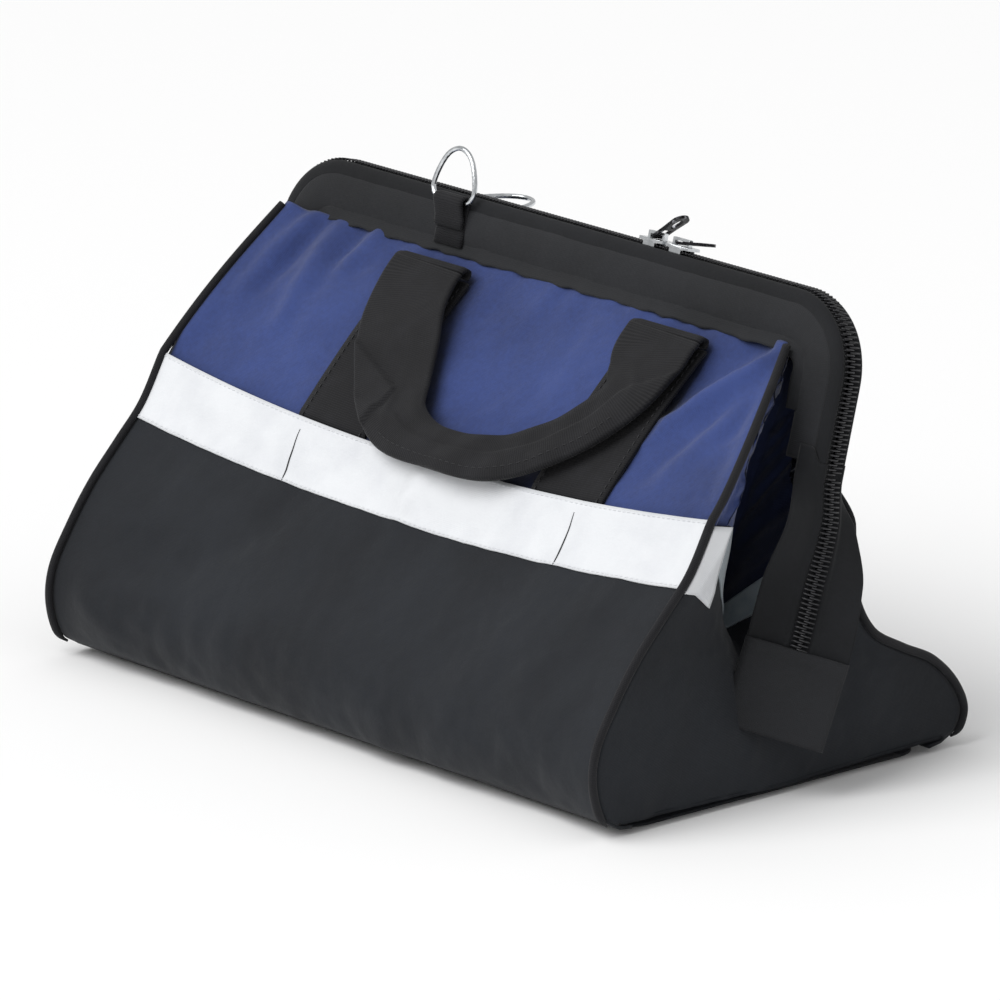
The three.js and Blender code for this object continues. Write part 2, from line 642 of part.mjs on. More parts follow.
for (const [name, end] of [['left', -1], ['right', 1]]) {
  addPiece(frame, `${name}_hinge_pin`, hingePin(end), STEEL);
}

// Slider: two shield-shaped plates joined by a neck at the nose, flanges that hold the coils, a bridge on top
function shieldPlate(low, high) {
  const half = SLIDER_LENGTH / 2;
  const shape = new THREE.Shape();
  shape.moveTo(-half, -SLIDER_HALF_WIDTH * SLIDER_TAIL_SHARE);
  shape.lineTo(half - SLIDER_NOSE, -SLIDER_HALF_WIDTH);
  shape.quadraticCurveTo(half, -SLIDER_HALF_WIDTH, half, 0);
  shape.quadraticCurveTo(half, SLIDER_HALF_WIDTH, half - SLIDER_NOSE, SLIDER_HALF_WIDTH);
  shape.lineTo(-half, SLIDER_HALF_WIDTH * SLIDER_TAIL_SHARE);
  shape.closePath();
  const settings = { depth: high - low, bevelEnabled: false, curveSegments: 5 };
  const geometry = new THREE.ExtrudeGeometry(shape, settings);
  geometry.translate(0, 0, low);
  return geometry;
}

const coilTop = coilUnder + COIL_HEIGHT;
const lowPlateTop = tapeUnder - SEAT_GAP - PLATE_CLEARANCE;
const topPlateUnder = coilTop + SEAT_GAP + PLATE_CLEARANCE;
const topPlateTop = topPlateUnder + SLIDER_PLATE;
const bridgeUnder = topPlateTop + BRIDGE_HEIGHT - BRIDGE_THICKNESS;

function sliderGeometry() {
  const half = SLIDER_LENGTH / 2;
  const flangeLow = coilUnder + PLATE_CLEARANCE;
  const pieces = [
    shieldPlate(topPlateUnder, topPlateTop),
    shieldPlate(lowPlateTop - SLIDER_PLATE, lowPlateTop),
    boxAt([half - SLIDER_NECK_LENGTH - SLIDER_NECK_INSET, -SLIDER_NECK_HALF, lowPlateTop - WELD_LAP],
      [half - SLIDER_NECK_INSET, SLIDER_NECK_HALF, topPlateUnder + WELD_LAP]),
  ];
  for (const s of [-1, 1]) {
    const outer = SLIDER_HALF_WIDTH * 0.85;
    const inner = outer - SLIDER_FLANGE + 0.5;
    const [low, high] = mirrored(s, inner, outer);
    pieces.push(boxAt([-half + 4, low, flangeLow], [half - SLIDER_NOSE, high, topPlateUnder + WELD_LAP]));
    const foot = s * BRIDGE_LENGTH / 2;
    pieces.push(boxAt([foot - 0.8, -BRIDGE_HALF_WIDTH, topPlateTop - WELD_LAP],
      [foot + 0.8, BRIDGE_HALF_WIDTH, bridgeUnder + BRIDGE_THICKNESS * 0.9]));
  }
  pieces.push(boxAt([-BRIDGE_LENGTH / 2, -BRIDGE_HALF_WIDTH, bridgeUnder],
    [BRIDGE_LENGTH / 2, BRIDGE_HALF_WIDTH, bridgeUnder + BRIDGE_THICKNESS]));
  return toGeometry(joined(pieces));
}

// Pull: a rectangular eye round the bridge and a rounded tag with an oval hole; it turns about its eye's bar
function pullGeometry() {
  const rod = PULL_ROD;
  const eyeHalf = PULL_EYE_HALF;
  const tag = new THREE.Shape();
  const r = PULL_HALF_WIDTH;
  tag.moveTo(PULL_EYE_LENGTH, -eyeHalf - rod);
  tag.lineTo(PULL_LENGTH - r, -r);
  tag.absarc(PULL_LENGTH - r, 0, r, -Math.PI / 2, Math.PI / 2);
  tag.lineTo(PULL_EYE_LENGTH, eyeHalf + rod);
  tag.closePath();
  const hole = new THREE.Path();
  hole.absellipse(PULL_LENGTH - r - PULL_HOLE_INSET, 0, PULL_HOLE_HALF_LENGTH, PULL_HOLE_HALF_WIDTH, 0,
    2 * Math.PI, true);
  tag.holes.push(hole);
  const settings = { depth: PULL_THICKNESS, bevelEnabled: false, curveSegments: 8 };
  const plate = new THREE.ExtrudeGeometry(tag, settings);
  plate.translate(0, 0, -PULL_THICKNESS / 2);
  const pieces = [plate, boxAt([-rod, -eyeHalf - rod, -rod], [rod, eyeHalf + rod, rod])];
  for (const s of [-1, 1]) {
    const [low, high] = mirrored(s, eyeHalf - rod, eyeHalf + rod);
    pieces.push(boxAt([-rod, low, -rod], [PULL_EYE_LENGTH + 0.5, high, rod]));
  }
  return toGeometry(joined(pieces));
}

function addSlider(name, end, rest) {
  const slider = new THREE.Group();
  slider.position.set(SLIDER_MEETING_X + end * (SLIDER_LENGTH / 2 + SLIDER_GAP / 2), 0, SLEEVE_TOP);
  const body = addPiece(slider, `${name}_slider`, sliderGeometry(), STEEL);
  body.rotation.z = end > 0 ? Math.PI : 0;
  const pull = addPiece(slider, `${name}_pull`, pullGeometry(), BLACK_METAL);
  pull.position.z = (topPlateTop + bridgeUnder) / 2;
  pull.rotation.y = -rest;
  frame.add(slider);
}

addSlider('left', -1, LEFT_PULL_REST);
addSlider('right', 1, RIGHT_PULL_REST);

// Zip tails: they lap outside the ends of the zip and hang below the hinges, turning a little to the front
const tailX = SLEEVE_HALF_LENGTH + coilTop + SEAT_GAP + ZIP_TAPE_THICKNESS / 2;
const tailTop = ZIP_LEG_BOTTOM + TAIL_LAP;

function tailShare(z) {
  return THREE.MathUtils.smoothstep(-z, 0, TAIL_LENGTH);
}

function twisted(geometry, end) {
  const position = geometry.attributes.position;
  for (let k = 0; k < position.count; k += 1) {
    const share = tailShare(position.getZ(k));
    const angle = TAIL_TWIST * share;
    const x = position.getX(k);
    const y = position.getY(k);
    const turnedX = x * Math.cos(angle) + y * Math.sin(angle);
    const turnedY = -x * Math.sin(angle) + y * Math.cos(angle);
    position.setX(k, end * (tailX + turnedX + TAIL_SWAY * share));
    position.setY(k, turnedY);
  }
  const index = Array.from(geometry.index.array);
  const points = [];
  for (let k = 0; k < position.count; k += 1) {
    points.push(new THREE.Vector3().fromBufferAttribute(position, k));
  }
  return facedOut(points, index);
}

// A strip of the tail with its edges at the columns, which may change from row to row
function tailStrip(thickness, fromX, columnsAt) {
  const rows = evenly(tailTop, -TAIL_LENGTH, 14);
  const grid = (x) => rows.map((z) => columnsAt(z).map((y) => new THREE.Vector3(x, y, z)));
  return closedSheet(grid(fromX), grid(fromX + thickness));
}

function tailColumns(z) {
  const spread = THREE.MathUtils.smoothstep(-z, 0, TAIL_SPREAD);
  const half = THREE.MathUtils.lerp(TAIL_TOP_HALF_WIDTH, TAIL_HALF_WIDTH, spread);
  return [-half, -ZIP_HALF_WIDTH, ZIP_HALF_WIDTH, half];
}

function tailCoil(side) {
  const near = ZIP_TAPE_THICKNESS / 2 + TAIL_COIL_GAP;
  const [low, high] = mirrored(side, ZIP_HALF_GAP + COIL_WIDTH - COIL_SPINE, ZIP_HALF_GAP + COIL_WIDTH);
  const pieces = [tailStrip(COIL_HEIGHT, near, () => [low, high])];
  const [toothLow, toothHigh] = mirrored(side, ZIP_HALF_GAP, ZIP_HALF_GAP + COIL_WIDTH - COIL_SPINE + 0.2);
  const offset = side > 0 ? TOOTH_PITCH / 2 : 0;
  for (let z = tailTop - TOOTH_PITCH / 2 - offset; z > -TAIL_LENGTH + TOOTH_LENGTH; z -= TOOTH_PITCH) {
    pieces.push(boxAt([near, toothLow, z - TOOTH_LENGTH / 2],
      [near + COIL_HEIGHT, toothHigh, z + TOOTH_LENGTH / 2]));
  }
  return toGeometry(joined(pieces));
}

function endTab() {
  const shape = new THREE.Shape();
  const w = END_TAB_HALF_WIDTH;
  const notch = END_TAB_NOTCH;
  const top = -TAIL_LENGTH - END_TAB_OVERLAP_GAP;
  const bottom = top - END_TAB_LENGTH;
  shape.moveTo(-w, bottom);
  shape.lineTo(w, bottom);
  shape.lineTo(w, top - notch);
  shape.lineTo(w - notch, top);
  shape.lineTo(-w, top);
  shape.closePath();
  const geometry = new THREE.ExtrudeGeometry(shape, { depth: END_TAB_THICKNESS, bevelEnabled: false });
  geometry.rotateX(Math.PI / 2);
  geometry.rotateZ(Math.PI / 2);
  geometry.translate(-END_TAB_THICKNESS / 2, 0, 0);
  return toGeometry(toSolid(geometry));
}

for (const [name, end] of [['left', -1], ['right', 1]]) {
  const tape = tailStrip(ZIP_TAPE_THICKNESS, -ZIP_TAPE_THICKNESS / 2, tailColumns);
  addPiece(frame, `${name}_tail_tape`, twisted(tape, end), BLACK_CLOTH);
  addPiece(frame, `${name}_tail_front_coil`, twisted(tailCoil(-1), end), COIL);
  addPiece(frame, `${name}_tail_back_coil`, twisted(tailCoil(1), end), COIL);
  addPiece(frame, `${name}_tail_end_tab`, twisted(endTab(), end), WEBBING);
}

// Handles. Each hangs from two folds that lie on the base straps, in a plane that follows the wall.
const strapDepth = bodyLayer - BASE_STRAP_THICKNESS - 2 * SEAT_GAP;

function shareAcross(surface, x, share) {
  const edge = Math.abs(surface(x < 0 ? 0 : 1, share).x);
  return (x / edge + 1) / 2;
}

function handlePlane(surface, side, foldDown) {
  const topEdge = surface(0.5, 1);
  const lowEdge = surface(0.5, POCKET_SHARE);
  const down = lowEdge.clone().sub(topEdge);
  down.x = 0;
  const foldShare = 1 - (1 - POCKET_SHARE) * foldDown / down.length();
  down.normalize();
  if (side > 0) {
    down.set(0, Math.sin(BACK_HANDLE_LEAN), -Math.cos(BACK_HANDLE_LEAN));
  }
  const out = new THREE.Vector3(0, side * Math.abs(down.z), Math.abs(down.y));
  const across = shareAcross(surface, HANDLE_CENTRE_X, foldShare);
  const along = surface(across, foldShare - 0.01).sub(surface(across, foldShare + 0.01)).normalize();
  const wallOut = new THREE.Vector3(0, side * Math.abs(along.z), Math.abs(along.y));
  const fold = surface(across, foldShare).addScaledVector(wallOut, FOLD_RADIUS + FOLD_SEAT - strapDepth);
  fold.x = 0;
  return { down, out, fold, foldShare };
}

// Half-width of the strap at a share of the loop's length, from a leg (0) to the middle of the grip (1)
function strapHalfWidth(share) {
  const narrow = THREE.MathUtils.smoothstep(share, 0.35, 0.75);
  return THREE.MathUtils.lerp(WEBBING_WIDTH, GRIP_WIDTH, narrow) / 2;
}

function handleLoop(plane, shift) {
  const drop = HANDLE_DROP - GRIP_WIDTH / 2;
  const centreLine = new THREE.CatmullRomCurve3([
    [-HANDLE_CENTRE_X, 0], [-HANDLE_CENTRE_X, drop * 0.3], [-HANDLE_CENTRE_X + HANDLE_LEG_BEND, drop * 0.62],
    [-HANDLE_CENTRE_X + HANDLE_CORNER, drop * 0.9], [-HANDLE_CENTRE_X * 0.42, drop], [0, drop + 1],
    [HANDLE_CENTRE_X * 0.42, drop], [HANDLE_CENTRE_X - HANDLE_CORNER, drop * 0.9],
    [HANDLE_CENTRE_X - HANDLE_LEG_BEND, drop * 0.62], [HANDLE_CENTRE_X, drop * 0.3], [HANDLE_CENTRE_X, 0],
  ].map(([x, s]) => new THREE.Vector3(x, s, 0)));
  const steps = 36;
  const near = FOLD_RADIUS + FOLD_CLEARANCE;
  const layers = [near, near + WEBBING_THICKNESS].map((height) => {
    const grid = [];
    for (let k = 0; k <= steps; k += 1) {
      const share = k / steps;
      const point = centreLine.getPointAt(share);
      const along = centreLine.getTangentAt(share);
      const half = strapHalfWidth(1 - Math.abs(2 * share - 1));
      const line = [-1, 1].map((edge) => {
        const x = point.x - along.y * half * edge;
        const s = point.y + along.x * half * edge;
        return new THREE.Vector3(x + shift, 0, 0).add(plane.fold).addScaledVector(plane.down, s)
          .addScaledVector(plane.out, height);
      });
      grid.push(line);
    }
    return grid;
  });
  return closedSheet(layers[0], layers[1]);
}

function foldRoll(plane, end, shift) {
  const middle = end * HANDLE_CENTRE_X + shift;
  const roll = cylinderAlongX(FOLD_RADIUS, middle - WEBBING_WIDTH / 2, middle + WEBBING_WIDTH / 2, 12);
  roll.translate(0, plane.fold.y, plane.fold.z);
  return roll;
}

// Strap sewn flat on the body panel, from the pocket's top to the fold
function baseStrap(surface, end, inward, plane, shift) {
  const middle = end * HANDLE_CENTRE_X + shift;
  const low = POCKET_SHARE + STRAP_SHARE_MARGIN;
  const high = plane.foldShare - STRAP_END_BELOW_FOLD;
  const strip = (u, v) => {
    const share = low + (high - low) * v;
    return surface(shareAcross(surface, middle + (u - 0.5) * WEBBING_WIDTH, share), share);
  };
  return cloth(strip, evenly(0, 1, 4), evenly(0, 1, 6), strapDepth, BASE_STRAP_THICKNESS, inward);
}

for (const [side, sign, surface, inward, foldDown, shift] of [
  ['front', -1, frontWall, -1, FRONT_FOLD_DOWN, FRONT_HANDLE_SHIFT],
  ['back', 1, backWall, 1, BACK_FOLD_DOWN, 0],
]) {
  const plane = handlePlane(surface, sign, foldDown);
  addPiece(bag, `${side}_handle`, handleLoop(plane, shift), WEBBING);
  for (const [end, endSign] of [['left', -1], ['right', 1]]) {
    addPiece(bag, `${side}_${end}_handle_fold`, foldRoll(plane, endSign, shift), WEBBING);
    addPiece(bag, `${side}_${end}_base_strap`, baseStrap(surface, endSign, inward, plane, shift), WEBBING);
  }
}

// Strap rings: a D of round wire whose straight side turns in a webbing tab on the sleeve
const ringBarY = SLEEVE_HALF_GAP + SLEEVE_THICKNESS + SEAT_GAP + RING_TAB_CLOTH + RING_WIRE + RING_STANDOFF;

function dRing() {
  const w = RING_HALF_WIDTH;
  const corner = RING_CORNER;
  const points = [[-w + corner, 0], [-w / 2, 0], [0, 0], [w / 2, 0], [w - corner, 0], [w, corner],
    [w * 0.86, RING_HEIGHT * 0.55],
    [w * 0.5, RING_HEIGHT * 0.88], [0, RING_HEIGHT], [-w * 0.5, RING_HEIGHT * 0.88],
    [-w * 0.86, RING_HEIGHT * 0.55], [-w, corner]];
  const corners = points.map(([x, z]) => new THREE.Vector3(x, 0, z));
  const loop = new THREE.CatmullRomCurve3(corners, true, 'centripetal');
  return closedTube(loop, RING_WIRE, 28, 6);
}

function ringTab(side) {
  const bore = RING_WIRE + RING_CLEARANCE;
  const outer = bore + RING_TAB_CLOTH;
  const barrel = cylinderAlongX(outer, -RING_TAB_HALF_WIDTH, RING_TAB_HALF_WIDTH, 18);
  barrel.translate(0, side * ringBarY, RING_BAR_HEIGHT);
  const near = SLEEVE_HALF_GAP + SLEEVE_THICKNESS + SEAT_GAP;
  const [low, high] = mirrored(side, near, near + RING_TAB_CLOTH);
  const lowCorner = [-RING_TAB_HALF_WIDTH, low, RING_TAB_BOTTOM];
  const strap = boxAt(lowCorner, [RING_TAB_HALF_WIDTH, high, RING_BAR_HEIGHT]);
  const hole = cylinderAlongX(bore, -RING_TAB_HALF_WIDTH - 1, RING_TAB_HALF_WIDTH + 1, 18);
  hole.translate(0, side * ringBarY, RING_BAR_HEIGHT);
  return toGeometry(joined([barrel, strap]).subtract(toSolid(hole)));
}

for (const [name, side] of [['front', -1], ['back', 1]]) {
  const tab = addPiece(frame, `${name}_ring_tab`, ringTab(side), WEBBING);
  tab.position.x = RING_CENTRE_X;
  const ring = addPiece(frame, `${name}_d_ring`, dRing(), STEEL);
  ring.position.set(RING_CENTRE_X, side * ringBarY, RING_BAR_HEIGHT);
  ring.rotation.x = side < 0 ? 0 : -BACK_RING_LEAN;
}

export default bag;
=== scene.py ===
"""A soft tool bag with a hinged mouth frame under a zip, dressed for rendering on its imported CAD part.

Lengths are millimetres in the size classes and metres in every mesh. +X runs along the bag, -Y to its front.
"""
from __future__ import annotations

import json
import logging
import math
from dataclasses import dataclass, field
from enum import Enum
from typing import Callable, Iterable, Sequence

import bpy
import numpy as np
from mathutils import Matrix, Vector, noise

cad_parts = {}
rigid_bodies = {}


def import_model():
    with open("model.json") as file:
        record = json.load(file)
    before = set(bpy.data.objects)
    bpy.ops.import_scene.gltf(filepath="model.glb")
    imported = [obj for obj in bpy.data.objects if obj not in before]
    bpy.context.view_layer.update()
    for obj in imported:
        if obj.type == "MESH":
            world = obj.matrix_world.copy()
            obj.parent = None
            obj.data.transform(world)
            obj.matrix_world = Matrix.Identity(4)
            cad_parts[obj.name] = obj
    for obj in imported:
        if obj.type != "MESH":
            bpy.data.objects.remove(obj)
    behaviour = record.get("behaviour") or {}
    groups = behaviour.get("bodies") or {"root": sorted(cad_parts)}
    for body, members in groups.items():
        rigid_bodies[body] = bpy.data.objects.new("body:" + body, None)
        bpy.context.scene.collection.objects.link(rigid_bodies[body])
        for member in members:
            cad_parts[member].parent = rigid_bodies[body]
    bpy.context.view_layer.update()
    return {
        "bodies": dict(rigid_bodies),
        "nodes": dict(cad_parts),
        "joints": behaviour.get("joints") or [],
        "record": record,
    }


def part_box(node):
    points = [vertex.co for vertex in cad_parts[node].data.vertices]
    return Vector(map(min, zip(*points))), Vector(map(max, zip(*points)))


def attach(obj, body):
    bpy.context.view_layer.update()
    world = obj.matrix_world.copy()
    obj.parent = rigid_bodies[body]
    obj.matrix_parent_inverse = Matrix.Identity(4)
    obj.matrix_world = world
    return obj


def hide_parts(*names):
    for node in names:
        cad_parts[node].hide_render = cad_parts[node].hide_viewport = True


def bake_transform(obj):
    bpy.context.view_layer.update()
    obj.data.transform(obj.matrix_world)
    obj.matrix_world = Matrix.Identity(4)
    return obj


LOG = logging.getLogger("tool_bag")
MM = 0.001
# Short names for the types in the signatures
Point = tuple[float, float]
Array = np.ndarray
Piece = bpy.types.Object
Material = bpy.types.Material
Node = bpy.types.Node
Socket = bpy.types.NodeSocket
Light = bpy.types.Light


class Named(Enum):
    """A choice whose name is also part of the CAD nodes' names."""

    @property
    def word(self) -> str:
        """The name as the CAD nodes spell it."""
        return self.name.lower()


class End(Named):
    """An end of the bag, with the sign of its X."""

    LEFT = -1
    RIGHT = 1


class Side(Named):
    """A long side of the bag, with the sign of its Y."""

    FRONT = -1
    BACK = 1


def clamp01(value: float) -> float:
    """Limits a number to 0 to 1."""
    return max(0.0, min(1.0, value))


def smooth(low: float, high: float, value: float) -> float:
    """Rises smoothly from 0 at low to 1 at high, which may be below low."""
    t = clamp01((value - low) / (high - low))
    return t * t * (3 - 2 * t)


def hex_colour(text: str) -> tuple[float, float, float, float]:
    """Turns an sRGB hex colour into linear RGBA.

    Args:
        text: Six hex digits, such as "35427c".

    Returns:
        Linear red, green, blue and an alpha of 1.
    """
    channels = [int(text[k : k + 2], 16) / 255 for k in (0, 2, 4)]
    linear = [c / 12.92 if c <= 0.04045 else ((c + 0.055) / 1.055) ** 2.4 for c in channels]
    return (*linear, 1.0)


# Curves and sheets


def catmull_rom(points: Sequence[Point], t: float) -> Point:
    """Gives the point at t, from 0 to 1, of a centripetal curve through points.

    Args:
        points: The curve's points.
        t: The place along it, 0 to 1.

    Returns:
        The point there.
    """
    place = (len(points) - 1) * clamp01(t)
    k = min(int(place), len(points) - 2)
    weight = place - k
    around = [np.array(points[j], float) for j in range(max(k - 1, 0), min(k + 3, len(points)))]
    if k == 0:
        around.insert(0, 2 * around[0] - around[1])
    if k + 2 >= len(points):
        around.append(2 * around[-1] - around[-2])
    p0, p1, p2, p3 = around
    spans = ((p0, p1), (p1, p2), (p2, p3))
    d0, d1, d2 = (max(math.sqrt(float(np.linalg.norm(b - a))), 1e-4) for a, b in spans)
    m1 = ((p1 - p0) / d0 - (p2 - p0) / (d0 + d1) + (p2 - p1) / d1) * d1
    m2 = ((p2 - p1) / d1 - (p3 - p1) / (d1 + d2) + (p3 - p2) / d2) * d1
    a = 2 * p1 - 2 * p2 + m1 + m2
    b = -3 * p1 + 3 * p2 - 2 * m1 - m2
    result = ((a * weight + b) * weight + m1) * weight + p1
    return float(result[0]), float(result[1])


def running_length(path: Array) -> Array:
    """Gives how far along a path each of its points lies."""
    return np.concatenate([[0.0], np.cumsum(np.linalg.norm(np.diff(path, axis=0), axis=1))])


def unit_rows(ways: Array) -> Array:
    """Gives directions, one a row, at a length of 1."""
    return ways / np.linalg.norm(ways, axis=1, keepdims=True)


def evenly(low: float, high: float, count: int) -> list[float]:
    """Gives count + 1 numbers from low to high."""
    return [low + (high - low) * k / count for k in range(count + 1)]


def new_mesh(name: str, points: Array, faces: list, uvs: Array | None = None) -> Piece:
    """Makes a smooth-shaded object from points in millimetres, with one UV per point in metres of cloth.

    Args:
        name: The piece's name.
        points: Its points.
        faces: The points' numbers round each face.
        uvs: Places in the flat cloth, in millimetres.

    Returns:
        The new object.
    """
    mesh = bpy.data.meshes.new(name)
    mesh.from_pydata((points * MM).tolist(), [], faces)
    if uvs is not None:
        layer = mesh.uv_layers.new(name="Cloth")
        corners = np.empty(len(mesh.loops), np.int32)
        mesh.loops.foreach_get("vertex_index", corners)
        layer.data.foreach_set("uv", (uvs[corners] * MM).astype(np.float32).ravel())
    mesh.polygons.foreach_set("use_smooth", [True] * len(mesh.polygons))
    mesh.validate()
    mesh.update()
    piece = bpy.data.objects.new(name, mesh)
    bpy.context.scene.collection.objects.link(piece)
    return piece


def grid_faces(rows: int, columns: int, offset: int = 0, flip: bool = False, wrap: bool = False) -> list:
    """Lists the quads of a grid of points, row by row; wrap joins the last column to the first.

    Args:
        rows: Rows of points.
        columns: Points in a row.
        offset: The first point's number.
        flip: Whether the faces are turned over.
        wrap: Whether a row closes to a ring.

    Returns:
        The faces.
    """
    faces = []
    last = columns if wrap else columns - 1
    for r in range(rows - 1):
        for c in range(last):
            n = (c + 1) % columns
            quad = [r * columns + c, r * columns + n, (r + 1) * columns + n, (r + 1) * columns + c]
            faces.append([k + offset for k in (reversed(quad) if flip else quad)])
    return faces


def add_rod(rings: Sequence, vertices: list, faces: list) -> None:
    """Adds a rod with closed ends, given as rings of points, to lists of points and faces.

    Args:
        rings: Its rings, all of as many points.
        vertices: The points so far, which grow.
        faces: The faces so far, which grow.
    """
    sides = len(rings[0])
    base = sum(len(v) for v in vertices)
    vertices.append(np.array(rings).reshape(-1, 3))
    faces.extend(grid_faces(len(rings), sides, base, wrap=True))
    faces.append([base + k for k in range(sides)][::-1])
    faces.append([base + (len(rings) - 1) * sides + k for k in range(sides)])


def cloth_lengths(points: Array) -> Array:
    """Gives each grid point's place in the flat cloth, in millimetres, across and along.

    Args:
        points: The grid.

    Returns:
        The place of each point.
    """
    across = np.linalg.norm(np.diff(points, axis=1), axis=2)
    along = np.linalg.norm(np.diff(points, axis=0), axis=2)
    u = np.zeros(points.shape[:2])
    v = np.zeros(points.shape[:2])
    u[:, 1:] = np.cumsum(across, axis=1)
    u -= u[:, u.shape[1] // 2][:, None]
    v[1:, :] = np.cumsum(along, axis=0)
    return np.stack([u, v], axis=2)


def grid_normals(points: Array, outward: Vector) -> Array:
    """Gives the unit normals of a grid, turned to the side that outward points to on the whole.

    Args:
        points: The grid.
        outward: Roughly the way that it looks.

    Returns:
        The normals.
    """
    normals = np.cross(np.gradient(points, axis=1), np.gradient(points, axis=0))
    normals /= np.maximum(np.linalg.norm(normals, axis=2, keepdims=True), 1e-9)
    return -normals if float(np.sum(normals * np.array(outward))) < 0 else normals


def sheet(name: str, points: Array, thickness: float, outward: Vector, depth: float = 0.0,
          relief: Array | None = None) -> Piece:
    """Makes closed cloth between two depths below a grid of points.

    Args:
        name: The piece's name.
        points: Rows of columns of (x, y, z) in millimetres.
        thickness: The cloth's thickness.
        outward: Roughly the way that the outer face looks.
        depth: How far the outer face lies below the grid.
        relief: Height to add along the normal at each grid point.

    Returns:
        The new object, with its flat cloth lengths as UVs.
    """
    rows, columns = points.shape[:2]
    normals = grid_normals(points, outward)
    lift = np.zeros((rows, columns)) if relief is None else relief
    outer = points + normals * (lift - depth)[..., None]
    inner = points + normals * (lift - depth - thickness)[..., None]
    lengths = cloth_lengths(points).reshape(-1, 2)
    vertices = np.concatenate([outer.reshape(-1, 3), inner.reshape(-1, 3)])
    flat = np.cross(points[0, 1] - points[0, 0], points[1, 0] - points[0, 0])
    flip = float(np.dot(flat, normals[0, 0])) < 0
    count = rows * columns
    faces = grid_faces(rows, columns, 0, flip) + grid_faces(rows, columns, count, not flip)
    rim = list(range(columns))
    rim += [r * columns + columns - 1 for r in range(1, rows)]
    rim += [(rows - 1) * columns + c for c in range(columns - 2, -1, -1)]
    rim += [r * columns for r in range(rows - 2, 0, -1)]
    for a, b in zip(rim, rim[1:] + rim[:1]):
        quad = [a, a + count, b + count, b]
        faces.append(quad if not flip else quad[::-1])
    return new_mesh(name, vertices, faces, np.concatenate([lengths, lengths]))


def swept(name: str, path: Array, across: Array, up: Array, section: Sequence[Point],
          scale: Array) -> Piece:
    """Sweeps a closed section along a path.

    Args:
        name: The piece's name.
        path: The middle line.
        across: The direction of the section's first measure at each point.
        up: The direction of its second measure at each point.
        section: The section's outline.
        scale: How many times as large both measures are at each point.

    Returns:
        The new object.
    """
    ring = np.array(section, float)
    rings = []
    for centre, side, rise, (wide, high) in zip(path, across, up, scale):
        rings.append(centre + np.outer(ring[:, 0] * wide, side) + np.outer(ring[:, 1] * high, rise))
    uv = np.stack(np.meshgrid(running_length(ring), running_length(path)), axis=2).reshape(-1, 2)
    vertices: list[Array] = []
    faces: list[list[int]] = []
    add_rod(rings, vertices, faces)
    piece = new_mesh(name, vertices[0], faces, uv)
    make_faces_point_out(piece)
    return piece


def strap_along(name: str, path: Array, across: Array, up: Array, scale: Array,
                relief: Callable[[int, float], float] | None = None, columns: int = 15) -> Piece:
    """Sweeps a strap with rounded edges.

    Args:
        name: The piece's name.
        path: The strap's middle line.
        across: The direction of its width at each point.
        up: The direction of its outer face at each point.
        scale: Half its width and half its thickness at each point.
        relief: Gives extra height on the outer face for a point's number and its place across, from -1 to 1.
        columns: How many points lie across the strap.

    Returns:
        The new object.
    """
    selvedge = 0.07  # Share of the half-width over which the edge is rounded
    top, bottom, uv = [], [], []
    lengths = running_length(path)
    for k, (half, thick) in enumerate(scale):
        for s in np.linspace(-1, 1, columns):
            edge = max(0.0, (abs(s) - 1 + selvedge) / selvedge)
            height = thick * math.sqrt(max(0.0, 1 - edge ** 2 * 0.75))
            extra = relief(k, float(s)) if relief else 0.0
            top.append(path[k] + across[k] * half * s + up[k] * (height + extra))
            bottom.append(path[k] + across[k] * half * s - up[k] * height)
            uv.append((s * half, lengths[k]))
    rows = len(path)
    count = rows * columns
    vertices = np.concatenate([np.array(top), np.array(bottom)])
    faces = grid_faces(rows, columns) + grid_faces(rows, columns, count, flip=True)
    for r in range(rows - 1):
        a, b = r * columns, (r + 1) * columns
        faces.append([a, b, b + count, a + count])
        a, b = a + columns - 1, b + columns - 1
        faces.append([b, a, a + count, b + count])
    for c in range(columns - 1):
        faces.append([c + 1, c, c + count, c + 1 + count])
        a = (rows - 1) * columns + c
        faces.append([a, a + 1, a + 1 + count, a + count])
    flat = np.array(uv)
    piece = new_mesh(name, vertices, faces, np.concatenate([flat, flat]))
    make_faces_point_out(piece)
    return piece


def make_faces_point_out(piece: Piece) -> None:
    """Turns a closed mesh's faces outward.

    Args:
        piece: The mesh's object.
    """
    mesh = piece.data
    mesh.calc_loop_triangles()
    volume = 0.0
    for triangle in mesh.loop_triangles:
        a, b, c = (mesh.vertices[k].co for k in triangle.vertices)
        volume += a.dot(b.cross(c))
    if volume < 0:
        mesh.flip_normals()


def rounded_section(width: float, height: float, radius: float, steps: int = 4) -> list[Point]:
    """Gives the outline of a rounded rectangle about its middle, anticlockwise.

    Args:
        width: Its first measure.
        height: Its second measure.
        radius: Its corners' radius.
        steps: How many sides a corner has.

    Returns:
        The outline's points.
    """
    outline = []
    corners = ((1, 1, 0), (-1, 1, 90), (-1, -1, 180), (1, -1, 270))
    for sx, sy, start in corners:
        for k in range(steps + 1):
            angle = math.radians(start + 90 * k / steps)
            x = sx * (width / 2 - radius) + radius * math.cos(angle)
            y = sy * (height / 2 - radius) + radius * math.sin(angle)
            outline.append((x, y))
    return outline


# A stitch's place along itself, its height and its thickness, the last two in half-thicknesses of the thread
STITCH_PROFILE = ((0.0, -0.8, 0.5), (0.18, 0.55, 0.95), (0.5, 0.9, 1.0), (0.82, 0.55, 0.95),
                  (1.0, -0.8, 0.5))


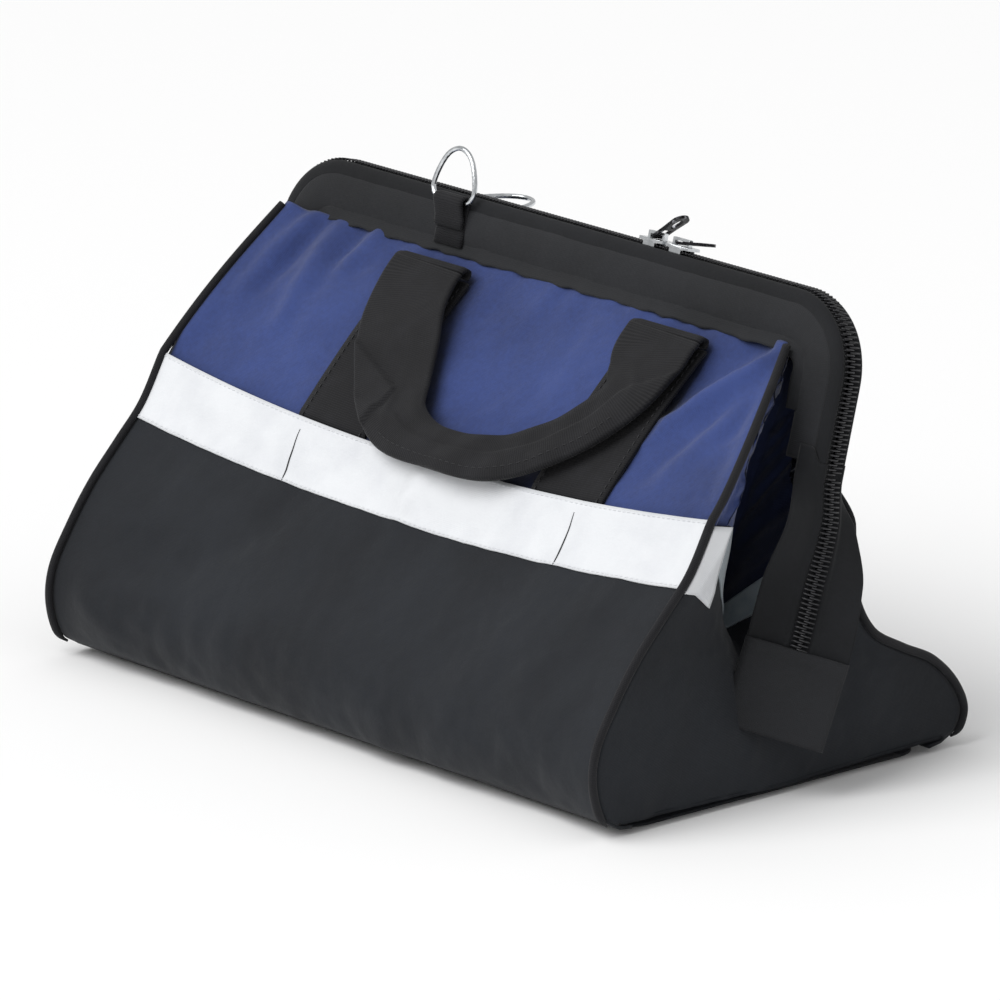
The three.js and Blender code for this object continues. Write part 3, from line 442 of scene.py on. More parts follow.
@dataclass(frozen=True)
class Thread:
    """Sewing thread, as the length, gap and half-thickness of its stitches."""

    stitch: float = 2.6
    gap: float = 0.9
    radius: float = 0.32
    sides: int = 6

    def build(self, name: str, lines: Iterable[tuple[Array, Array]]) -> Piece:
        """Lays stitches along lines, each given as points and the cloth's normals there.

        Args:
            name: The piece's name.
            lines: The lines.

        Returns:
            The new object.
        """
        vertices: list[Array] = []
        faces: list[list[int]] = []
        for points, normals in lines:
            length = running_length(points)
            start = self.gap
            while start + self.stitch < length[-1]:
                self._stitch(points, normals, length, start, vertices, faces)
                start += self.stitch + self.gap
        return new_mesh(name, np.concatenate(vertices), faces)

    def _stitch(self, points: Array, normals: Array, length: Array, start: float,
                vertices: list, faces: list) -> None:
        """Adds one stitch that dips into the cloth at both of its ends.

        Args:
            points: The line.
            normals: The cloth's normals on it.
            length: How far along each point lies.
            start: Where the stitch starts.
            vertices: The points so far, which grow.
            faces: The faces so far, which grow.
        """
        rings = []
        for share, rise, width in STITCH_PROFILE:
            at = start + share * self.stitch
            centre, ahead = (np.array([np.interp(spot, length, points[:, k]) for k in range(3)])
                             for spot in (at, at + 0.3))
            ahead = ahead - centre
            normal = np.array([np.interp(at, length, normals[:, k]) for k in range(3)])
            normal /= np.linalg.norm(normal)
            if np.linalg.norm(ahead) < 1e-6:
                ahead = points[-1] - points[-2]
            side = np.cross(ahead / np.linalg.norm(ahead), normal)
            ring = []
            for k in range(self.sides):
                angle = 2 * math.pi * k / self.sides
                offset = side * math.cos(angle) + normal * math.sin(angle)
                ring.append(centre + normal * rise * self.radius + offset * self.radius * width)
            rings.append(ring)
        add_rod(rings, vertices, faces)


# Finishes


# The wave node's bands are this far apart at a scale of 1
RIBS_PER_SCALE = 0.31416


class Tree:
    """A material's node tree, with short ways to add and join nodes."""

    def __init__(self, name: str) -> None:
        """Starts a material with its output and its surface shader."""
        self.material = bpy.data.materials.new(name)
        self.material.use_nodes = True
        self.nodes = self.material.node_tree.nodes
        self.links = self.material.node_tree.links
        self.shader = self.nodes["Principled BSDF"]

    def add(self, kind: str, properties: dict | None = None, **inputs: object) -> Node:
        """Adds a node, sets its properties, and sets or joins its inputs by their names.

        Args:
            kind: The node's type.
            properties: Its own settings.
            inputs: Values or sockets, with _ for a space in a name.

        Returns:
            The node.
        """
        node = self.nodes.new(kind)
        for key, value in (properties or {}).items():
            setattr(node, key, value)
        for key, value in inputs.items():
            self.put(node, key.replace("_", " "), value)
        return node

    def put(self, node: Node, socket: str | int, value: object) -> None:
        """Sets a socket to a value, or joins another node's output to it.

        Args:
            node: The node.
            socket: The input's name or number.
            value: A value or a socket.
        """
        target = node.inputs[int(socket)] if str(socket).isdigit() else node.inputs[socket]
        if isinstance(value, Socket):
            self.links.new(value, target)
        else:
            target.default_value = value

    def surface(self, **inputs: object) -> Material:
        """Sets or joins the surface shader's inputs by their names, and gives the finished material."""
        for key, value in inputs.items():
            self.put(self.shader, key.replace("_", " "), value)
        return self.material

    def maths(self, operation: str, a: object, b: object, clamp: bool = False) -> Socket:
        """Adds a sum of two values and gives its result.

        Args:
            operation: The sum's name.
            a: The first value.
            b: The second value.
            clamp: Whether the result is limited to 0 to 1.

        Returns:
            The result.
        """
        node = self.add("ShaderNodeMath", {"operation": operation, "use_clamp": clamp})
        self.put(node, 0, a)
        self.put(node, 1, b)
        return node.outputs[0]

    def scaled(self, share: float, value: object, base: float) -> Socket:
        """Gives a share of a value on top of a base."""
        return self.maths("ADD", self.maths("MULTIPLY", value, share), base)

    def place(self, output: str, turn: float = 0.0) -> Socket:
        """Gives the surface's place in metres, turned.

        Args:
            output: "UV" for flat cloth, or "Object".
            turn: The turn, in radians.

        Returns:
            The place.
        """
        source = self.add("ShaderNodeTexCoord").outputs[output]
        mapping = self.add("ShaderNodeMapping", Vector=source, Rotation=(0, 0, turn))
        return mapping.outputs[0]

    def cloud(self, size_mm: float, detail: float = 4.0) -> Socket:
        """Gives soft noise.

        Args:
            size_mm: About how wide its patches are.
            detail: How many finer layers it has.

        Returns:
            The noise, 0 to 1.
        """
        node = self.add("ShaderNodeTexNoise", Vector=self.place("Object"), Scale=1 / (size_mm * MM),
                        Detail=detail, Roughness=0.55)
        return node.outputs["Fac"]

    def ribs(self, pitch_mm: float, turn: float = 0.0, wander: float = 0.0) -> Socket:
        """Gives parallel ribs on the cloth.

        Args:
            pitch_mm: How far apart they are.
            turn: Their turn, in radians.
            wander: How far they stray.

        Returns:
            Their height, 0 to 1.
        """
        node = self.add("ShaderNodeTexWave", {"wave_type": "BANDS", "wave_profile": "SIN"},
                        Vector=self.place("UV", turn), Scale=RIBS_PER_SCALE / (pitch_mm * MM),
                        Distortion=wander, Detail=1.0)
        return node.outputs["Fac"]

    def ramp(self, value: object, low: float, first: str, high: float, second: str) -> Socket:
        """Maps a value to one sRGB hex colour up to low, to another from high, and to their mix between.

        Args:
            value: The value.
            low: Where the first colour ends.
            first: The first colour.
            high: Where the second colour starts.
            second: The second colour.

        Returns:
            The colour.
        """
        node = self.add("ShaderNodeValToRGB", Fac=value)
        stops = ((low, first), (high, second))
        for element, (place, colour) in zip(node.color_ramp.elements, stops):
            element.position = place
            element.color = hex_colour(colour)
        return node.outputs[0]

    def blend(self, share: object, first: object, second: object, mode: str = "MIX") -> Socket:
        """Mixes two colours.

        Args:
            share: The second one's share.
            first: The first colour.
            second: The second colour.
            mode: How they mix.

        Returns:
            The colour.
        """
        node = self.add("ShaderNodeMix", {"data_type": "RGBA", "blend_type": mode})
        self.put(node, 0, share)
        self.put(node, 6, first)
        self.put(node, 7, second)
        return node.outputs[2]

    def bump(self, height: object, distance_mm: float, strength: float = 1.0,
             under: object = None) -> Socket:
        """Turns a height into a bump.

        Args:
            height: The height, 0 to 1.
            distance_mm: How deep it is.
            strength: How much of it shows.
            under: A bump that it lies on.

        Returns:
            The normal.
        """
        node = self.add("ShaderNodeBump", Height=height, Distance=distance_mm * MM, Strength=strength)
        if under is not None:
            self.put(node, "Normal", under)
        return node.outputs[0]


@dataclass(frozen=True)
class WovenPolyester:
    """Plain-woven polyester bag cloth with a thin coating.

    It is matt, with a fine grid of yarns, soft creases where it was folded and a faint sheen at grazing
    light. The yarns are drawn coarser than they are, so that they show. An optional colour is mixed into
    hollows and folds by ambient occlusion, as painted shade.
    """

    name: str
    colour: str
    deep: str
    yarn: float = 0.75
    roughness: float = 0.72
    sheen: float = 0.25
    crease: float = 0.5
    # Colour of the painted shade that ambient occlusion mixes into hollows; empty for none
    recess: str = ""

    def material(self) -> Material:
        """Builds the cloth's shader.

        Returns:
            The material.
        """
        tree = Tree(self.name)
        warp = tree.ribs(self.yarn, wander=0.3)
        weft = tree.ribs(self.yarn, turn=math.pi / 2, wander=0.3)
        yarns = tree.maths("MULTIPLY", warp, weft)
        broad = tree.cloud(70)
        fine = tree.cloud(2.2, detail=6)
        tone = tree.maths("ADD", tree.maths("MULTIPLY", broad, 0.7), tree.maths("MULTIPLY", fine, 0.3))
        base = tree.ramp(tone, 0.36, self.deep, 0.62, self.colour)
        woven = tree.blend(tree.maths("MULTIPLY", yarns, 0.35), base, hex_colour(self.deep))
        # Painted shade: ambient occlusion darkens the cloth's colour towards the shade colour in hollows and
        # deep folds, where shade falls
        if self.recess:
            hollow = tree.add("ShaderNodeAmbientOcclusion", {"samples": 8}, Distance=55 * MM)
            shade = tree.ramp(hollow.outputs["AO"], 0.25, self.recess, 0.8, "ffffff")
            woven = tree.blend(1.0, woven, shade, "MULTIPLY")
        creases = tree.bump(tree.cloud(14, detail=5), self.crease)
        return tree.surface(Base_Color=woven, Roughness=tree.scaled(0.16, fine, self.roughness - 0.08),
                            Sheen_Weight=self.sheen, Sheen_Roughness=0.45, Specular_IOR_Level=0.2,
                            Normal=tree.bump(yarns, 0.12, 0.8, creases))


@dataclass(frozen=True)
class RibbedWebbing:
    """Heavy black polypropylene webbing.

    It has thick ribs across a strap, twilled by the face yarns, slightly glossy on the crown of each rib
    and worn a little grey. Its colour is darker in the grooves between ribs, as painted shade.
    """

    name: str
    colour: str
    deep: str
    worn: str = "3a3b40"
    rib: float = 1.15

    def material(self) -> Material:
        """Builds the webbing's shader.

        Returns:
            The material.
        """
        tree = Tree(self.name)
        ribs = tree.ribs(self.rib, turn=math.pi / 2, wander=0.4)
        twill = tree.ribs(0.8, turn=math.radians(35), wander=0.5)
        height = tree.maths("ADD", tree.maths("MULTIPLY", ribs, 0.65), tree.maths("MULTIPLY", twill, 0.35))
        wear = tree.cloud(16, detail=7)
        # The rib and twill pattern, with painted shade: darker in the grooves, the cloth's colour on the
        # crowns
        face = tree.ramp(height, 0.15, self.deep, 0.75, self.colour)
        worn = tree.maths("MULTIPLY", tree.maths("SUBTRACT", wear, 0.46, clamp=True), 0.4)
        rough = tree.maths("SUBTRACT", 0.86, tree.maths("MULTIPLY", height, 0.2))
        return tree.surface(Base_Color=tree.blend(worn, face, hex_colour(self.worn)), Roughness=rough,
                            Sheen_Weight=0.06, Specular_IOR_Level=0.25, Normal=tree.bump(height, 0.2))


@dataclass(frozen=True)
class ReflectiveRibbon:
    """Glass-bead reflective ribbon: a pale silver-white face with very fine ribs and a soft pearly gloss."""

    name: str
    colour: str
    shade: str
    roughness: float = 0.42

    def material(self) -> Material:
        """Builds the ribbon's shader.

        Returns:
            The material.
        """
        tree = Tree(self.name)
        ribs = tree.ribs(0.9)
        cross = tree.ribs(0.9, turn=math.pi / 2)
        soil = tree.cloud(28, detail=6)
        grain = tree.cloud(1.1, detail=3)
        height = tree.maths("MULTIPLY", ribs, cross)
        return tree.surface(Base_Color=tree.ramp(soil, 0.3, self.shade, 0.55, self.colour),
                            Roughness=tree.scaled(0.2, grain, self.roughness - 0.1), Sheen_Weight=0.2,
                            Normal=tree.bump(height, 0.06, 0.7, tree.bump(tree.cloud(9), 0.25)))


@dataclass(frozen=True)
class PlainPolymer:
    """Moulded nylon or spun polyester thread: one dark colour with fine grain and a soft highlight."""

    name: str
    colour: str
    light: str
    roughness: float = 0.45

    def material(self) -> Material:
        """Builds the polymer's shader.

        Returns:
            The material.
        """
        tree = Tree(self.name)
        grain = tree.cloud(0.8, detail=3)
        return tree.surface(Base_Color=tree.ramp(grain, 0.35, self.colour, 0.7, self.light),
                            Roughness=tree.scaled(0.2, grain, self.roughness - 0.1),
                            Normal=tree.bump(grain, 0.04))


@dataclass(frozen=True)
class PlatedSteel:
    """Nickel-plated steel, die-cast or drawn: bright, with tumbling marks and faint smudges in its gloss."""

    name: str
    colour: str
    bright: str
    roughness: float = 0.2

    def material(self) -> Material:
        """Builds the metal's shader.

        Returns:
            The material.
        """
        tree = Tree(self.name)
        smudge = tree.cloud(5, detail=6)
        return tree.surface(Base_Color=tree.ramp(smudge, 0.3, self.colour, 0.7, self.bright), Metallic=1.0,
                            Roughness=tree.scaled(0.22, smudge, self.roughness - 0.1),
                            Normal=tree.bump(tree.cloud(1.5), 0.02))


@dataclass(frozen=True)
class BlackLacquer:
    """Zinc alloy with black lacquer, rubbed to grey in small scattered spots."""

    name: str
    colour: str
    rubbed: str

    def material(self) -> Material:
        """Builds the lacquer's shader.

        Returns:
            The material.
        """
        tree = Tree(self.name)
        wear = tree.cloud(2.4, detail=6)
        share = tree.ramp(wear, 0.56, "000000", 0.68, "ffffff")
        face = tree.blend(share, hex_colour(self.colour), hex_colour(self.rubbed))
        return tree.surface(Base_Color=face, Metallic=0.75, Roughness=tree.scaled(0.3, wear, 0.14),
                            Normal=tree.bump(wear, 0.03))


@dataclass(frozen=True)
class PaleFloor:
    """Matt white studio paper."""

    name: str = "studio_paper"
    colour: str = "fbfbfb"

    def material(self) -> Material:
        """Builds the paper's shader."""
        tree = Tree(self.name)
        return tree.surface(Base_Color=hex_colour(self.colour), Roughness=0.9, Specular_IOR_Level=0.1)


class Finishes:
    """Every material of the bag, made once."""

    def __init__(self) -> None:
        """Builds the materials."""
        cloth = WovenPolyester
        # The blue cloth carries painted shade in its hollows and folds, from ambient occlusion
        self.blue = cloth("blue_polyester", "36477f", "293663", sheen=0.22, recess="8c857c").material()
        self.black = cloth("black_polyester", "23262b", "1b1d21", sheen=0.06, crease=0.7).material()
        self.sleeve = cloth("sleeve_polyester", "26272a", "1d1e20", yarn=0.9, sheen=0.1).material()
        self.zip_tape = cloth("zip_tape", "1e1f22", "141517", yarn=0.6, roughness=0.8, sheen=0.08).material()
        self.webbing = RibbedWebbing("black_webbing", "151518", "0d0d10").material()
        self.binding = RibbedWebbing("binding_tape", "1a1a1e", "0e0e11", rib=0.8).material()
        self.ribbon = ReflectiveRibbon("reflective_ribbon", "dbdde0", "d2d4d8").material()
        # A darker copy of the ribbon, as painted shade, for its stretch deep in the end gussets' fold
        self.shaded_ribbon = ReflectiveRibbon("shaded_ribbon", "868f95", "5b666d").material()
        self.thread = PlainPolymer("black_thread", "141416", "2a2a2e", roughness=0.6).material()
        self.coil = PlainPolymer("zip_nylon", "121214", "303034", roughness=0.34).material()
        self.board = PlainPolymer("base_board", "1a1a1c", "2a2a2c", roughness=0.6).material()
        self.steel = PlatedSteel("plated_steel", "b9bcbf", "dfe2e4").material()
        self.lacquer = BlackLacquer("black_lacquer", "17171a", "8b8c90").material()


def dress(piece: Piece, material: Material) -> None:
    """Gives a piece one material."""
    piece.data.materials.clear()
    piece.data.materials.append(material)


def fit(piece: Piece, material: Material, node: str = "",
        body: str = "") -> None:
    """Gives a piece its material and its place in the part.

    Args:
        piece: The piece.
        material: Its only material.
        node: The CAD node that it replaces, if any.
        body: The body that it rides on, if any.
    """
    dress(piece, material)
    if node:
        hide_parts(node)
    if body:
        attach(piece, body)


def soften(piece: Piece, levels: int) -> None:
    """Smooths a piece by subdivision.

    Args:
        piece: The piece.
        levels: How many times.
    """
    modifier = piece.modifiers.new("Smooth", "SUBSURF")
    modifier.levels = levels
    modifier.render_levels = levels


# The bag's sizes


@dataclass(frozen=True)
class MouthFrame:
    """The hinged frame's place and the sizes of its sleeves, in its own plane."""

    pivot_y: float = 26
    pivot_z: float = 146
    lean: float = math.radians(14.5)
    half_length: float = 200
    top: float = 83
    sleeve_width: float = 22
    sleeve_thickness: float = 7
    sleeve_half_gap: float = 1.2
    corner: float = 34
    leg_bottom: float = 10
    zip_leg_bottom: float = 4.0
    blend_height: float = 60

    def world(self, x: float, y: float, z: float) -> Array:
        """Turns a point of the frame's plane into the bag's millimetres."""
        c, s = math.cos(self.lean), math.sin(self.lean)
        return np.array([x, self.pivot_y + y * c + z * s, self.pivot_z - y * s + z * c])

    def direction(self, x: float, y: float, z: float) -> Array:
        """Turns a direction of the frame's plane into the bag's."""
        return self.world(x, y, z) - self.world(0, 0, 0)

    def arch(self, rise: float, bottom: float, step: float) -> tuple[Array, Array]:
        """Gives points (x, z) of the arch, at a rise above the sleeve's outline, and their outward ways.

        Args:
            rise: How far outside the outline.
            bottom: The legs' lowest height.
            step: About how far apart the points are.

        Returns:
            The points and the directions.
        """
        half = self.half_length + rise
        radius = self.corner + rise
        top = self.top + rise
        leg = top - radius - bottom
        arc = math.pi / 2 * radius
        straight = 2 * (half - radius)
        total = 2 * leg + 2 * arc + straight
        count = max(int(total / step), 8)
        points, outward = [], []
        for k in range(count + 1):
            s = total * k / count
            if s <= leg:
                point, normal = (-half, bottom + s), (-1, 0)
            elif s <= leg + arc:
                angle = math.pi - (s - leg) / radius
                normal = (math.cos(angle), math.sin(angle))
                point = (-half + radius + radius * normal[0], top - radius + radius * normal[1])
            elif s <= leg + arc + straight:
                point, normal = (-half + radius + s - leg - arc, top), (0, 1)
            elif s <= leg + 2 * arc + straight:
                angle = math.pi / 2 - (s - leg - arc - straight) / radius
                normal = (math.cos(angle), math.sin(angle))
                point = (half - radius + radius * normal[0], top - radius + radius * normal[1])
            else:
                point, normal = (half, bottom + total - s), (1, 0)
            points.append(point)
            outward.append(normal)
        return np.array(points, float), np.array(outward, float)


FRAME = MouthFrame()


@dataclass(frozen=True)
class Layers:
    """How deep each layer of cloth lies below the wall's outer surface, and how thick it is."""

    tape_depth: float = 0.25
    tape: float = 0.8
    pocket_depth: float = 1.2
    pocket: float = 1.6
    body_depth: float = 3.2
    body: float = 1.5
    strap_depth: float = 1.0
    strap: float = 1.6


LAYERS = Layers()
# How far the cloth runs past the end seams into the piping, as a share of the wall's length
PIPING_REACH = 0.006
# The pocket's height as a share of the whole side's, and how much of the pocket lies below its ribbon
POCKET_SHARE = 0.6
BELOW_RIBBON = 1 - 29 / 172
# How far the cloth runs in under the base and down, in millimetres for each unit of height share below 0
RUN_UNDER = 400
RUN_DOWN = 60
# The height of the cloth's lower edge, where it meets the floor panel
GROUND = 2.3
# How far the body cloth swells beside a sewn end seam
SEAM_SWELL = 2.4


@dataclass(frozen=True)
class Fold:
    """A soft ridge or hollow of the cloth between two places of the wall.

    On the body cloth a place is its x and how far it lies below the sleeve, on the pocket its x and height.
    """

    start: Point
    end: Point
    width: float
    height: float

    def lift(self, x: Array, down: Array) -> Array:
        """Gives the fold's height at places of the wall.

        Args:
            x: The places' x.
            down: Their distance below the sleeve, or their height.

        Returns:
            The heights.
        """
        a = np.array(self.start, float)
        d = np.array(self.end, float) - a
        t = np.clip(((x - a[0]) * d[0] + (down - a[1]) * d[1]) / float(d @ d), 0, 1)
        gap = np.hypot(x - a[0] - t * d[0], down - a[1] - t * d[1])
        fade = 0.35 + 0.65 * np.sin(math.pi * np.clip(0.12 + 0.76 * t, 0, 1))
        return self.height * np.exp(-((gap / self.width) ** 2)) * fade


@dataclass(frozen=True)
class WallShape:
    """A long wall of the bag: its profiles in (y, z) at an end and half way, and how its seam draws in."""

    side: Side
    end_profile: tuple[Point, ...]
    middle_profile: tuple[Point, ...]
    top_offset: Point
    bulge: float
    draws_in: Callable[[float], float]
    folds: tuple[Fold, ...] = ()
    dents: tuple[Fold, ...] = ()
    slits: tuple[Point, ...] = ()
    strap_middles: tuple[float, ...] = (-86, 86)
    strap_room: float = 25.5
    half_length: float = 203
    seam_inset: float = 4
    seam_draw: float = 33
    left_draw: float = 33
    leg_standoff: float = 3.5
    leg_reach: float = 25
    pocket_share: float = POCKET_SHARE

    def seam_x(self, v: float, end: End = End.RIGHT) -> float:
        """Gives the wall's half-length.

        Args:
            v: The height share.
            end: Whose half it is.

        Returns:
            The half-length.
        """
        upper = max(0.0, (v - self.pocket_share) / (1 - self.pocket_share))
        draw = self.left_draw if end is End.LEFT else self.seam_draw
        return self.half_length - self.seam_inset - draw * self.draws_in(upper)

    @property
    def top(self) -> Array:
        """The point (y, z) where the wall runs under the sleeve."""
        return FRAME.world(0, *self.top_offset)[1:]

    def point(self, u: float, v: float) -> Array:
        """Gives the wall's point, u from 0 at the left to 1, v from 0 at the base to 1 at the sleeve.

        Args:
            u: The place along the wall.
            v: The height share, below 0 under the base.

        Returns:
            The point (x, y, z).
        """
        across = 2 * u - 1
        x = across * self.seam_x(v, End.LEFT if across < 0 else End.RIGHT)
        t = min(v / self.pocket_share, 1)
        middle = np.array(catmull_rom(self.middle_profile, t))
        end = np.array(catmull_rom(self.end_profile, t))
        place = middle + (end - middle) * min(abs(x) / self.seam_x(v), 1) ** 2.2
        if v < 0:
            place = place + np.array([self.side.value * RUN_UNDER * v, RUN_DOWN * v])
        if v > self.pocket_share:
            upper = (v - self.pocket_share) / (1 - self.pocket_share)
            place = place + (self.top - place) * upper
            place[0] += self.side.value * self.bulge * math.sin(math.pi * upper)
            if self.left_draw < self.seam_draw:
                leg_inside = FRAME.half_length - FRAME.sleeve_width
                near_leg = smooth(leg_inside - self.leg_reach, leg_inside, -x)
                place[0] += self.side.value * self.leg_standoff * upper * near_leg
        return np.array([x, place[0], place[1]])

    def grid(self, us: Sequence[float], vs: Sequence[float]) -> Array:
        """Gives rows of points over the wall."""
        return np.array([[self.point(u, v) for u in us] for v in vs])

    def follow_mouth(self, piece: Piece) -> None:
        """Bakes a piece's transform into its mesh.

        Args:
            piece: The piece.
        """
        start = self.point(0.5, self.pocket_share) * MM
        end = self.point(0.5, 0.97) * MM
        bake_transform(piece)

    def share_at(self, x: float, v: float) -> float:
        """Gives the u of an x at a height share."""
        return (x / self.seam_x(v, End.LEFT if x < 0 else End.RIGHT) + 1) / 2


FRONT_WALL = WallShape(
    side=Side.FRONT,
    end_profile=((-104, GROUND), (-115, 10), (-121, 28), (-119, 45), (-107, 66), (-93, 85), (-76, 103),
                 (-61, 119), (-47, 143)),
    middle_profile=((-104, GROUND), (-113, 9), (-118, 26), (-114, 44), (-102, 62), (-88, 80), (-74, 95),
                    (-63, 107), (-50, 131)),
    top_offset=(-10.44, 62.62),
    bulge=3,
    draws_in=lambda upper: upper**1.5,
    left_draw=6,
    folds=(
        Fold((-176, 0), (-184, 56), 7, 3.6),
        Fold((-166, 2), (-172, 50), 5, -3.0),
        Fold((-156, 0), (-148, 66), 7, 4.2),
        Fold((-142, 2), (-138, 40), 6, -3.2),
        Fold((-124, 0), (-138, 34), 7, 2.8),
        Fold((-138, 34), (-128, 80), 13, 1.8),
        Fold((-112, 2), (-104, 26), 6, -1.6),
        Fold((-150, 66), (-118, 92), 14, -1.4),
        Fold((-30, 30), (40, 78), 26, -2.0),
        Fold((-6, 3), (10, 22), 9, 1.1),
        Fold((22, 2), (38, 24), 9, -1.2),
        Fold((60, 2), (52, 30), 9, 1.0),
        Fold((174, 4), (128, 66), 7, 7.0),
        Fold((150, 2), (108, 62), 14, -5.0),
        Fold((122, 64), (96, 92), 10, 2.4),
        Fold((172, 34), (150, 92), 7, 2.2),
        Fold((160, 44), (138, 92), 5, -1.6),
        Fold((178, 10), (172, 60), 5, -1.4),
    ),
    dents=(
        Fold((-178, 66), (-120, 60), 11, -4.0),
        Fold((-120, 60), (-72, 96), 12, -3.8),
        Fold((-188, 40), (-160, 28), 14, 2.8),
        Fold((-150, 44), (-96, 66), 9, 2.2),
        Fold((-60, 60), (40, 40), 30, 1.8),
        Fold((90, 96), (60, 30), 18, -2.2),
        Fold((150, 100), (130, 40), 14, 1.6),
        Fold((4, 134), (-2, 104), 6, 2.6),
        Fold((-30, 130), (-60, 112), 14, -1.2),
    ),
    slits=((-89, -87), (110, 112)),
    strap_middles=(-72, 100),
)
BACK_WALL = WallShape(
    side=Side.BACK,
    end_profile=((104, GROUND), (114, 8), (118, 18), (112, 32), (97, 47), (77, 57), (57, 69), (46, 88),
                 (43, 122)),
    middle_profile=((104, GROUND), (112, 10), (114, 22), (108, 38), (95, 55), (82, 68), (68, 80), (58, 96),
                    (53, 124)),
    top_offset=(11.08, 61.5),
    bulge=2,
    draws_in=lambda upper: smooth(0, 0.4, upper),
    folds=(
        Fold((-150, 6), (-120, 60), 10, 2.2),
        Fold((150, 6), (126, 60), 10, 2.4),
        Fold((-20, 20), (50, 70), 28, -1.8),
        Fold((-100, 4), (-80, 36), 9, -1.4),
        Fold((96, 4), (84, 40), 9, 1.4),
    ),
    dents=(
        Fold((-150, 50), (-60, 30), 20, -2.0),
        Fold((60, 60), (150, 40), 22, 1.8),
    ),
    slits=((-70, -72), (78, 80)),
)


def crumple(points: Array, size: float, height: float, seed: float = 0.0) -> Array:
    """Gives small smooth unevenness of the cloth, with patches of about size millimetres.

    Args:
        points: The grid.
        size: The patches' size.
        height: The greatest height, about.
        seed: A shift of the pattern.

    Returns:
        The height at each point.
    """
    values = np.empty(points.shape[:2])
    for r in range(points.shape[0]):
        for c in range(points.shape[1]):
            at = Vector(points[r, c] / size) + Vector((seed, seed * 0.7, -seed))
            values[r, c] = noise.fractal(at, 0.6, 2.1, 4)
    return values * height


def soft_step(share: Array) -> Array:
    """Rises smoothly from 0 at 0 to 1 at 1, for many numbers at once."""
    inside = np.clip(share, 0, 1)
    return inside * inside * (3 - 2 * inside)


def calm_edges(rows: int, columns: int, margin: float = 0.1) -> Array:
    """Gives 0 on a grid's rim and 1 away from it.

    Args:
        rows: The grid's rows.
        columns: The points in a row.
        margin: How wide the rim is.

    Returns:
        The values.
    """
    r = np.linspace(0, 1, rows)[:, None]
    c = np.linspace(0, 1, columns)[None, :]
    return soft_step(np.minimum(np.minimum(r, 1 - r), np.minimum(c, 1 - c)) / margin)


def by_row(values: Iterable[float]) -> Array:
    """Gives one number for each row of a grid."""
    return np.array(list(values))[:, None]


def by_column(values: Iterable[float]) -> Array:
    """Gives one number for each column of a grid."""
    return np.array(list(values))[None, :]


